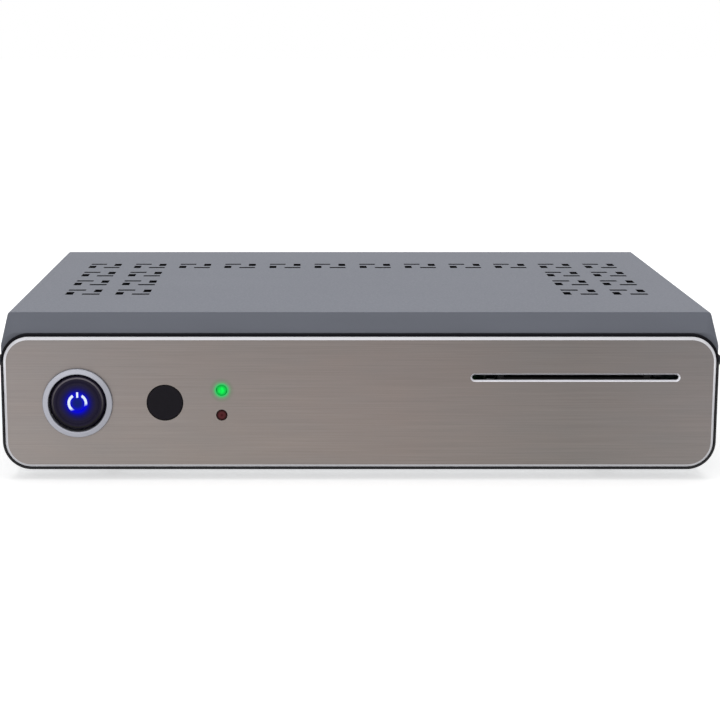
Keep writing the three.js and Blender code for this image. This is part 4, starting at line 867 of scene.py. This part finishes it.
def fine_cover():
    depths = (cover.low.y, cover.high.y, cover.high.y, cover.low.y)
    sheet = lofted([
        [Vector((x, y, z)) for (x, z), y in zip((outside, outside, inside, inside), depths)]
        for outside, inside in folded_section()])
    lip_half = cover.high.x - COVER_CORNER
    lip = block((-lip_half, cover.high.y - SHEET, cover.high.z - SHEET - COVER_LIP),
                (lip_half, cover.high.y, cover.high.z - SHEET / 2))
    combine(sheet, [lip], "UNION")
    holes = [screw_way(f"lip_screw_{index}", (0, 1, 0)) for index in (1, 2, 3)]
    holes += [screw_way(f"rear_side_screw_{side}", (1, 0, 0)) for side in ("left", "right")]
    combine(sheet, [vent_tools(), *holes])
    stands_for(eased(sheet, PUNCHED_EDGE, BEND_DEGREES), "top_cover",
               "cover_paint", "punched_edge", chosen=on_vent_wall_shade, smooth=BEND_DEGREES)


# Front: surround, frame and fascia

def front_tools(near, far):
    """Tools for the holes of the button, the window and the lenses."""
    holes = [(button, RING_BORE + RING_SLEEVE_WALL)]
    holes += [(box, box.half.x - PLUG_FLANGE) for box in map(Box, PLUGS)]
    return [rod((box.centre.x, near, box.centre.z), (box.centre.x, far, box.centre.z),
                radius + FIT, ROUND) for box, radius in holes]


def card_loop(grow, y):
    """The card slot's outline, grown on all sides."""
    tall = CARD_GAP / 2
    loop = outline(CARD_OPENING / 2, -tall, tall, tall, tall, y, -grow)
    return [point + slot_centre for point in loop]


def fine_surround():
    """A shell lofted from the rounded frame to the box, with a tongue that enters the cover."""
    near = RIM_DEPTH + FIT
    back = Box("front_surround").high.y
    half, low, top = panel.high.x, panel.low.z, panel.high.z
    outer, inner = [
        [outline(half_frame, 0, frame_top, SURROUND_CORNER, FRAME_CORNER, near, inset)]
        for inset in (0, WALL)]
    outer.append(outline(cover.high.x, cover.low.z, cover.high.z, COVER_CORNER,
                         SURROUND_LOWER_CORNER, surround_back))
    inner.append(outline(half - WALL, low + WALL, top - WALL, COVER_CORNER, COVER_CORNER,
                         surround_back))
    tongue = outline(half, low, top, COVER_CORNER, COVER_CORNER, surround_back)
    shell = lofted([inner[0], *outer, tongue, moved(tongue, back), moved(inner[1], back),
                    inner[1]], closed=True)
    eased(shell, SOFT_EDGE)
    middle = [blended(*pair, 0.5) for pair in zip(outer, inner)]
    ledge = (floor_back + FIT, floor_back + FIT + LEDGE_THICKNESS)
    rims = [moved(blended(*middle, (y - near) / (surround_back - near)), y) for y in ledge]
    opening = outline(half - WALL - LEDGE_WIDTH, low + LEDGE_WIDTH + WALL / 2,
                      frame_top - FLOOR_INSET - LEDGE_WIDTH / 2, LEDGE_CORNER, LEDGE_CORNER,
                      ledge[1])
    parts = [lofted([*rims, opening, moved(opening, ledge[0])], closed=True)]
    for side, screw in ((-1, "base_screw_1"), (1, "base_screw_2")):
        pad = axis_at((0, side_screw.centre.y, side_screw.centre.z), (side, 0, 0))
        parts.append(tube(pad, PAD_RADIUS, SCREW_HOLE, half_frame - FLOOR_INSET + FIT,
                          side_screw.high.x - SIDE_HEAD_HEIGHT))
        base = Box(screw).centre
        boss = axis_at((base.x, base.y, 0), (0, 0, 1))
        parts.append(tube(boss, BOSS_RADIUS, SCREW_HOLE, low + WALL / 2, board.low.z - FIT))
    stands_for(joined(shell, *parts), "front_surround")


def fine_frame():
    """A black tray: rim, floor, bosses for the front board and lugs for the side screws."""
    def rim(inset, y):
        return outline(half_frame, 0, frame_top, FRAME_CORNER, FRAME_CORNER, y, inset)

    tray = lofted([
        rim(RIM_WIDTH, floor_front), rim(RIM_WIDTH, 0), rim(0, 0), rim(0, RIM_DEPTH),
        rim(FLOOR_INSET, RIM_DEPTH), rim(FLOOR_INSET, floor_back)])
    eased(tray, SOFT_EDGE)
    slot = card_loop(CARD_BEVEL, -WALL)
    cutter = lofted([slot, moved(slot, floor_back + WALL)])
    combine(tray, [cutter, *front_tools(-WALL, floor_back + WALL)])
    foot = floor_front + FIT
    profile = stairs(0, foot, BOSS_RADIUS, board.low.y - FIT, PIN_RADIUS,
                     Box("front_frame").high.y, 0)
    corner = board.half - Vector((BOSS_INSET,) * 3)
    parts = [turned(profile, back_axis(board.centre + Vector((x, 0, z)) * corner), SCREW_ROUND)
             for x, z in product((-1, 1), repeat=2)]
    screw = side_screw.centre
    for side in (-1, 1):
        outer = half_frame - FLOOR_INSET - FIT
        ends = sorted((side * outer, side * (outer - LUG_THICKNESS)))
        parts.append(block((ends[0], foot, screw.z - LUG_HALF),
                           (ends[1], screw.y + LUG_HALF, screw.z + LUG_HALF)))
    # Faces of the frame's upper part take the painted shade copy
    stands_for(joined(tray, *parts), "front_frame", "frame_plastic", "frame_top_plastic",
               chosen=lambda centre, normal: int(centre.z > frame_top - FRAME_CORNER))


def on_bright_edge(centre, normal):
    """One for the cut bevels of the plate and its slot, two for the slot's upward lip, which
    carries a painted highlight.
    """
    sloped = SLOPED_SHARE < abs(normal.y) < ACROSS_SHARE
    if centre.y >= fascia.low.y + FASCIA_BEVEL or not sloped:
        return 0
    away = centre - slot_centre
    in_slot = abs(away.x) < CARD_OPENING / 2 + CARD_GAP and abs(away.z) < CARD_GAP
    return 2 if in_slot and normal.z > 0 else 1


def fine_fascia():
    def loop(inset, y):
        radius = FRAME_CORNER - fascia.low.z
        return outline(fascia.high.x, fascia.low.z, fascia.high.z, radius, radius, y, inset)

    near, far = fascia.low.y - SHEET, fascia.high.y + SHEET
    plate = lofted([loop(FASCIA_BEVEL, fascia.low.y), loop(0, fascia.low.y + FASCIA_BEVEL),
                    loop(0, fascia.high.y)])
    mouth = lofted([card_loop(CARD_BEVEL + SHEET, near),
                    card_loop(0, fascia.low.y + CARD_BEVEL), card_loop(0, far)])
    combine(plate, [mouth, *front_tools(near, far)])
    stands_for(plate, "fascia_plate", "fascia_metal", "bright_edge", "slot_lip",
               chosen=on_bright_edge, smooth=PLATE_DEGREES)


# Power button, window and lenses

def fine_ring():
    inner_face = ring.low.y + RING_ROUND
    outer_face = inner_face + RING_SLOPE
    profile = [(RING_BORE + RING_ROUND * (1 - cosine), inner_face - RING_ROUND * sine)
               for sine, cosine in quarter(CORNER_STEPS)]
    profile += [(ring.half.x - RING_ROUND * (1 - sine), outer_face - RING_ROUND * cosine)
                for sine, cosine in quarter(CORNER_STEPS)]
    profile += stairs(ring.half.x, fascia.low.y - SEAT, RING_BORE + RING_SLEEVE_WALL,
                      ring.high.y, RING_BORE)
    stands_for(turned(profile, back_axis(ring.centre), ROUND, closed=True), "power_ring")


def cap_depth(radius):
    """Depth of the domed cap at a radius, with a shallow groove round its middle."""
    dome = CAP_DOME * (radius / (CAP_RADIUS - CAP_ROUND)) ** 2
    groove = max(0, 1 - abs(radius - CAP_GROOVE_RADIUS) / CAP_GROOVE_HALF)
    return button.low.y + dome + CAP_GROOVE * groove ** 2


def fine_button():
    flat = CAP_RADIUS - CAP_ROUND
    shoulder = cap_depth(flat)
    radii = [flat * step / SMALL_ROUND for step in range(SMALL_ROUND + 1)]
    profile = [(radius, cap_depth(radius)) for radius in radii]
    profile += [(flat + CAP_ROUND * sine, shoulder + CAP_ROUND * (1 - cosine))
                for sine, cosine in quarter(CORNER_STEPS)[1:]]
    flange = ring.high.y + FIT
    profile += stairs(CAP_RADIUS, flange, RING_BORE + CAP_FLANGE_WIDTH, flange + CAP_FLANGE,
                      CAP_STEM_RADIUS, button.high.y, 0)

    # The inner half of the rounded shoulder carries the painted highlight
    def on_highlit_shoulder(point, normal):
        return int(0 < (point - button.centre).xz.length - flat < CAP_ROUND / 2)

    stands_for(turned(profile, back_axis(button.centre), ROUND), "power_button",
               "button_plastic", "cap_shoulder", chosen=on_highlit_shoulder)


def plug(node, tail, segments):
    """A plug with a rounded face, a flange behind the frame's floor, and a tail if it has one."""
    box = Box(node)
    radius = box.half.x - PLUG_FLANGE
    flange = floor_back + FIT
    profile = [(0, box.low.y)]
    profile += [(radius - PLUG_PROUD * (1 - sine), box.low.y + PLUG_PROUD * (1 - cosine))
                for sine, cosine in quarter(CORNER_STEPS)]
    back = (tail, box.high.y, 0) if tail else (0,)
    profile += stairs(radius, flange, box.half.x, flange + PLUG_FLANGE, *back)
    stands_for(turned(profile, back_axis(box.centre), segments), node)


# Signs

def laid(centre, edges, surface, closed=False):
    """A stroke with some relief on a curved face. Edges hold pairs of places across it."""
    loops = []
    for pair in edges:
        corners = ((pair[side > 0], rise * SIGN_RELIEF) for side, rise in SQUARE)
        loops.append([Vector((centre.x + x, surface(x, z) + depth, centre.z + z))
                      for (x, z), depth in corners])
    return lofted(loops, closed)


def ring_edges(radius, stroke, gap=0):
    """Both edges of a ring with a gap of some degrees at its top."""
    reaches = (radius - stroke / 2, radius + stroke / 2)
    angles = [radians(gap / 2 + (360 - gap) * step / SMALL_ROUND)
              for step in range(SMALL_ROUND + bool(gap))]
    return [[(reach * sin(angle), reach * cos(angle)) for reach in reaches]
            for angle in angles]


def bar_edges(low, high, stroke):
    """Both edges of an upright bar."""
    places = [low + (high - low) * step / CROWN_STEPS for step in range(CROWN_STEPS + 1)]
    return [((-stroke / 2, z), (stroke / 2, z)) for z in places]


def power_sign():
    """A broken ring with a bar in its gap, laid on the cap's dome."""
    def dome(x, z):
        return cap_depth(hypot(x, z))

    broken = laid(button.centre, ring_edges(SIGN_RADIUS, SIGN_STROKE, SIGN_GAP_DEGREES), dome)
    bar = laid(button.centre, bar_edges(*SIGN_BAR, SIGN_BAR_WIDTH), dome)
    added(joined(broken, bar), "power_sign", "power_button", "button_plastic", "sign_light")


def rocker_marks():
    """The signs for on and off, on the rocker's hollow face."""
    rocker = Box("rocker")
    off_place = -(ROCKER_BAR[0] + ROCKER_BAR[1]) / 2

    def hollow(x, z):
        return rocker.high.y - ROCKER_HOLLOW * (1 - ((1 + z / rocker.half.z) / 2) ** 2)

    on = laid(rocker.centre, bar_edges(*ROCKER_BAR, ROCKER_STROKE), hollow)
    off = laid(rocker.centre + Vector((0, 0, off_place)), ring_edges(ROCKER_RING, ROCKER_STROKE),
               lambda x, z: hollow(x, z + off_place), closed=True)
    added(joined(on, off), "rocker_marks", BODY_OF["rocker"], SLOT_OF["rocker"], "print_white")


# Feet and screws

def fine_foot(node):
    box = Box(node)
    wide, low = box.half.x, box.low.z
    profile = stairs(0, low + FOOT_RECESS, FOOT_RECESS_RADIUS, low, wide - FOOT_TAPER)
    profile += [(wide, low + FOOT_TAPER), (wide, box.high.z), (0, box.high.z)]
    foot = turned(profile, axis_at((box.centre.x, box.centre.y, 0), (0, 0, 1)))
    stands_for(eased(foot, SOFT_EDGE), node)


def fine_screw(node, way, head=SCREW_HEAD_HEIGHT):
    """A domed head with a cross recess, on a plain shank."""
    box = Box(node)
    axis = Vector(way)
    reach = abs(box.half.dot(axis))
    radius = max(box.half[place] for place in range(3) if not axis[place])
    placement = axis_at(box.centre - axis * reach, axis)
    top = 2 * reach
    profile = stairs(0, 0, SCREW_SHANK, top - head)
    profile += [(radius * cosine, top - head + head * sine)
                for sine, cosine in quarter(CROWN_STEPS)[:-1]]
    profile.append((0, top))
    arms = ((CROSS_ARM, CROSS_WIDTH / 2), (CROSS_WIDTH / 2, CROSS_ARM))
    cutters = [block((-x, -y, top - CROSS_DEPTH), (x, y, top + SHEET), placement)
               for x, y in arms]
    screw = combine(turned(profile, placement, SCREW_ROUND), cutters)
    stands_for(screw, node, smooth=TURNED_DEGREES)


# Rear connectors

def hexagon_nut(placement, low, high):
    """A six-sided nut with turned corners."""
    wide = NUT_FLATS / sqrt(3)
    inner = wide - NUT_CHAMFER * 2
    prism = turned(stairs(0, low, wide, high, 0), placement, 6)
    barrel = turned([(0, low), (inner, low), (wide, low + NUT_CHAMFER),
                     (wide, high - NUT_CHAMFER), (inner, high), (0, high)], placement)
    return combine(prism, [barrel], "INTERSECT")


def fine_aerial_socket(node):
    """A threaded barrel with a nut, an insulating ring and a spring contact."""
    box = Box(node)
    end = box.high.y
    nut_end = panel_back + NUT_DEPTH
    thread_end = end - 2 * FIT
    core = AERIAL_RADIUS - THREAD_DEPTH
    ledge = end - AERIAL_BORE_DEPTH
    bottom = ledge - AERIAL_CONTACT_DEPTH

    def threaded(radius, angle, along):
        if radius < AERIAL_RADIUS or not nut_end < along < thread_end:
            return radius
        turn = (along / THREAD_PITCH - angle / tau) % 1
        return radius - THREAD_DEPTH * abs(2 * turn - 1)

    def part_of(point, normal):
        """One for the insulating ring, two for the contact's bore."""
        away = (point - box.centre).xz.length
        if away > AERIAL_BORE or point.y < bottom - FIT:
            return 0
        if away > AERIAL_CONTACT and abs(point.y - ledge) < FIT / 3:
            return 1
        return 2 if away <= AERIAL_CONTACT and point.y > bottom - FIT else 0

    step = THREAD_PITCH / THREAD_STEPS
    count = int((thread_end - nut_end) / step)
    profile = stairs(0, box.low.y, AERIAL_RADIUS)
    profile += [(AERIAL_RADIUS, nut_end + step * place) for place in range(count + 1)]
    profile += [(core, thread_end), (core, end - FIT)]
    profile += stairs(AERIAL_RADIUS - 2 * FIT, end, AERIAL_BORE, ledge, AERIAL_CONTACT, bottom, 0)
    barrel = turned(profile, back_axis(box.centre), radial=threaded)
    nut = hexagon_nut(back_axis(box.centre), panel_back, nut_end)
    stands_for(joined(barrel, nut), node, "socket_metal", "insulator", "gilt_contacts",
               chosen=part_of, smooth=TURNED_DEGREES)


def fine_jack(node):
    """A plated sleeve with a coloured collar and a coloured ring round its contact."""
    box = Box(node)
    end = box.high.y
    collar = panel_back + JACK_COLLAR_DEPTH
    collar_face = JACK_COLLAR - JACK_ROUND
    mouth = JACK_RADIUS - JACK_RIM
    inset = end - JACK_RIM
    bottom = end - JACK_BORE_DEPTH
    profile = stairs(0, box.low.y, JACK_RADIUS, panel_back, collar_face)
    profile += [(JACK_COLLAR, panel_back + JACK_ROUND), (JACK_COLLAR, collar - JACK_ROUND)]
    profile += stairs(collar_face, collar, JACK_RADIUS, end - JACK_ROUND)
    profile += stairs(JACK_RADIUS - JACK_ROUND, end, mouth, inset, JACK_BORE + JACK_ROUND)
    profile += [(JACK_BORE, inset - JACK_ROUND), (JACK_BORE, bottom), (0, bottom)]

    def part_of(point, normal):
        """Nought for the slot's colour, one for the plating, two for the contact."""
        away = (point - box.centre).xz.length
        if away < JACK_BORE - SEAT or point.y < panel_back:
            return 2
        inside = away < mouth and point.y < end
        on_collar = point.y < collar + JACK_ROUND / 2 and away > JACK_RADIUS
        return 0 if inside or on_collar else 1

    stands_for(turned(profile, back_axis(box.centre)), node, SLOT_OF[node], "socket_metal",
               "gilt_contacts", chosen=part_of, smooth=TURNED_DEGREES)


def contacts(node, row, start, end):
    """A row of gilt contacts, each from one depth and height to another."""
    count, pitch, width = row
    strips = []
    for place in range(count):
        x = Box(node).centre.x + (place - (count - 1) / 2) * pitch
        strips.append(lofted([
            [Vector((x + side * width / 2, y, z + rise * CONTACT_THICKNESS))
             for side, rise in SQUARE]
            for y, z in (start, end)]))
    added(joined(*strips), f"{node}_contacts", "housing", "socket_metal", "gilt_contacts")


def tongued_socket(node, wall, thickness, heights, row, width=CUT_EDGE):
    """A shell with dark tongues at some heights, each with its row of contacts."""
    box = Box(node)
    near, far = box.low.y + 2 * wall, box.high.y - 2 * wall

    def on_tongue(point, normal):
        inside = near < point.y < box.high.y - wall / 2
        wide = abs(point.x - box.centre.x) < box.half.x - 2 * wall + SEAT
        away = min(abs(point.z - box.centre.z - height) for height in heights)
        return int(inside and wide and away < thickness / 2 + SEAT)

    refined(node, "socket_metal", "socket_dark", width=width, chosen=on_tongue)
    for height in heights:
        top = box.centre.z + height + thickness / 2
        contacts(node, row, (near, top), (far, top))


def usb_heights():
    """Heights of the two tongues, each near the floor of its mouth."""
    mouth = Box("usb_socket").half.z - USB_WALL - USB_MOUTH / 2
    lift = USB_WALL + (USB_TONGUE - USB_MOUTH) / 2
    return lift - mouth, lift + mouth


def network_contacts():
    """Eight spring wires that slope down from the roof of the network socket."""
    box = Box("network_socket")
    roof = box.high.z - NETWORK_WALL
    contacts("network_socket", NETWORK_CONTACTS, (box.high.y - NETWORK_WALL, roof),
             (box.high.y - 5 * NETWORK_WALL, roof - 2 * NETWORK_WALL))


def fine_inlet():
    """A block with a bore and a pin in its middle."""
    box = Box("power_inlet")
    x, z = box.centre.x, box.centre.z
    bottom = box.high.y - INLET_BORE_DEPTH
    bore = rod((x, bottom, z), (x, box.high.y + SHEET, z), INLET_BORE)
    inlet = combine(block(box.low, box.high), [bore])
    stands_for(eased(inlet, SOFT_EDGE), "power_inlet")
    pin = rod((x, bottom - FIT, z), (x, box.high.y - 2 * INLET_PIN, z), INLET_PIN)
    added(eased(pin, SOFT_EDGE), "inlet_pin", "housing", "socket_metal")


# Dressing

fine_cover()
fine_surround()
fine_frame()
fine_fascia()
fine_ring()
fine_button()
power_sign()
for node, looks in PLUGS.items():
    plug(node, *looks)
for index in (1, 2, 3, 4):
    fine_foot(f"foot_{index}")
    fine_screw(f"board_screw_{index}", (0, 0, 1))
    fine_aerial_socket(f"aerial_socket_{index}")
for index in (1, 2, 3):
    fine_screw(f"lip_screw_{index}", (0, 1, 0))
    fine_jack(f"jack_{index}")
for index in (1, 2):
    fine_screw(f"base_screw_{index}", (0, 0, -1))
for side, way in (("left", -1), ("right", 1)):
    fine_screw(f"front_side_screw_{side}", (way, 0, 0), SIDE_HEAD_HEIGHT - SEAT)
    fine_screw(f"rear_side_screw_{side}", (way, 0, 0))
fine_inlet()
tongued_socket("usb_socket", USB_WALL, USB_TONGUE, usb_heights(), USB_CONTACTS)
tongued_socket("hdmi_socket", HDMI_WALL, HDMI_TONGUE, (0,), HDMI_CONTACTS, THIN_EDGE)
network_contacts()
rocker_marks()
refined("card_reader", "socket_dark")
for node in BODY_OF:
    if not bpy.data.objects.get(f"fine_{node}"):
        refined(node)


# Stage, lamps and camera. Places and sizes are in metres from here on.

FLOOR_REACH = 6.0
FLOOR_ALBEDO = 0.8
# Light that the floor adds to itself in view, near the object and far from it
FLOOR_LIFT = 0.48
FLOOR_NEAR = 0.22
FLOOR_FAR = 0.9
FLOOR_MIRRORED = 0.45
WORLD_LEVEL = 0.45

# Lamps: place, aim, width, height and watts
LAMPS = {
    "overhead_softbox": ((0, 0.1, 1.2), (0, 0, 0), 1.2, 1.2, 6),
    "front_softbox": ((-0.3, -1.6, 0.7), (0, 0, 0.03), 1.4, 0.9, 10),
}

# Camera, fitted to the photograph
CAMERA_PLACE = (-0.01794, -0.79922, 0.18197)
CAMERA_DROP_DEGREES = 10.843
CAMERA_SENSOR_MM = 36
CAMERA_LENS_MM = 91.52
CAMERA_SHIFT = (0.0643, 0.0006)


def seen_directly(graph):
    """One for camera, mirrored and refracted rays, and nought for diffuse light."""
    rays = [graph.add("LightPath", output=f"Is {kind} Ray")
            for kind in ("Camera", "Glossy", "Transmission")]
    return graph.reckon("MAXIMUM", graph.reckon("MAXIMUM", *rays[:2]), rays[2])


def studio_floor():
    """A pale floor that keeps the object's shadow and turns white further out."""
    mesh = bpy.data.meshes.new("studio_floor")
    corners = [(x * FLOOR_REACH, y * FLOOR_REACH, 0) for x, y in SQUARE]
    mesh.from_pydata(corners, [], [(0, 1, 2, 3)])
    material = bpy.data.materials.new("studio_floor")
    material.use_nodes = True
    graph = Graph(material.node_tree)
    graph.nodes.remove(graph.nodes["Principled BSDF"])
    away = graph.add("VectorMath", {0: graph.place()}, "Value", operation="LENGTH")
    level = graph.spread(away, FLOOR_NEAR, FLOOR_FAR, FLOOR_LIFT)
    lift = graph.reckon("MULTIPLY", seen_directly(graph), level)
    mirrored = graph.add("LightPath", output="Is Glossy Ray")
    light = graph.add("Emission", {
        "Strength": graph.reckon("MULTIPLY_ADD", mirrored, FLOOR_MIRRORED, lift)})
    diffuse = graph.add("BsdfDiffuse", {"Color": grey(FLOOR_ALBEDO)})
    graph.feed(graph.nodes["Material Output"], {
        "Surface": graph.add("AddShader", {0: diffuse, 1: light})})
    mesh.materials.append(material)
    placed(mesh, "studio_floor")


def studio_world():
    world = bpy.data.worlds.new("studio")
    world.use_nodes = True
    bpy.context.scene.world = world
    graph = Graph(world.node_tree)
    level = graph.spread(seen_directly(graph), 0.0, 1.0, WORLD_LEVEL)
    graph.feed(graph.nodes["Background"], {"Color": grey(1), "Strength": level})


def soft_lamp(name, place, aim, width, height, watts):
    data = bpy.data.lights.new(name, "AREA")
    data.shape = "RECTANGLE"
    data.size = width
    data.size_y = height
    data.energy = watts
    lamp = placed(data, name)
    lamp.location = place
    lamp.rotation_euler = (Vector(aim) - Vector(place)).to_track_quat("-Z", "Y").to_euler()


def photo_camera():
    data = bpy.data.cameras.new("photo_camera")
    data.sensor_width = CAMERA_SENSOR_MM
    data.lens = CAMERA_LENS_MM
    data.shift_x, data.shift_y = CAMERA_SHIFT
    camera = placed(data, "photo_camera")
    camera.location = CAMERA_PLACE
    camera.rotation_euler = (radians(90 - CAMERA_DROP_DEGREES), 0, 0)
    bpy.context.scene.camera = camera


studio_floor()
studio_world()
for name, lamp in LAMPS.items():
    soft_lamp(name, *lamp)
photo_camera()
bpy.context.scene.view_settings.view_transform = "Standard"

bpy.context.view_layer.update()
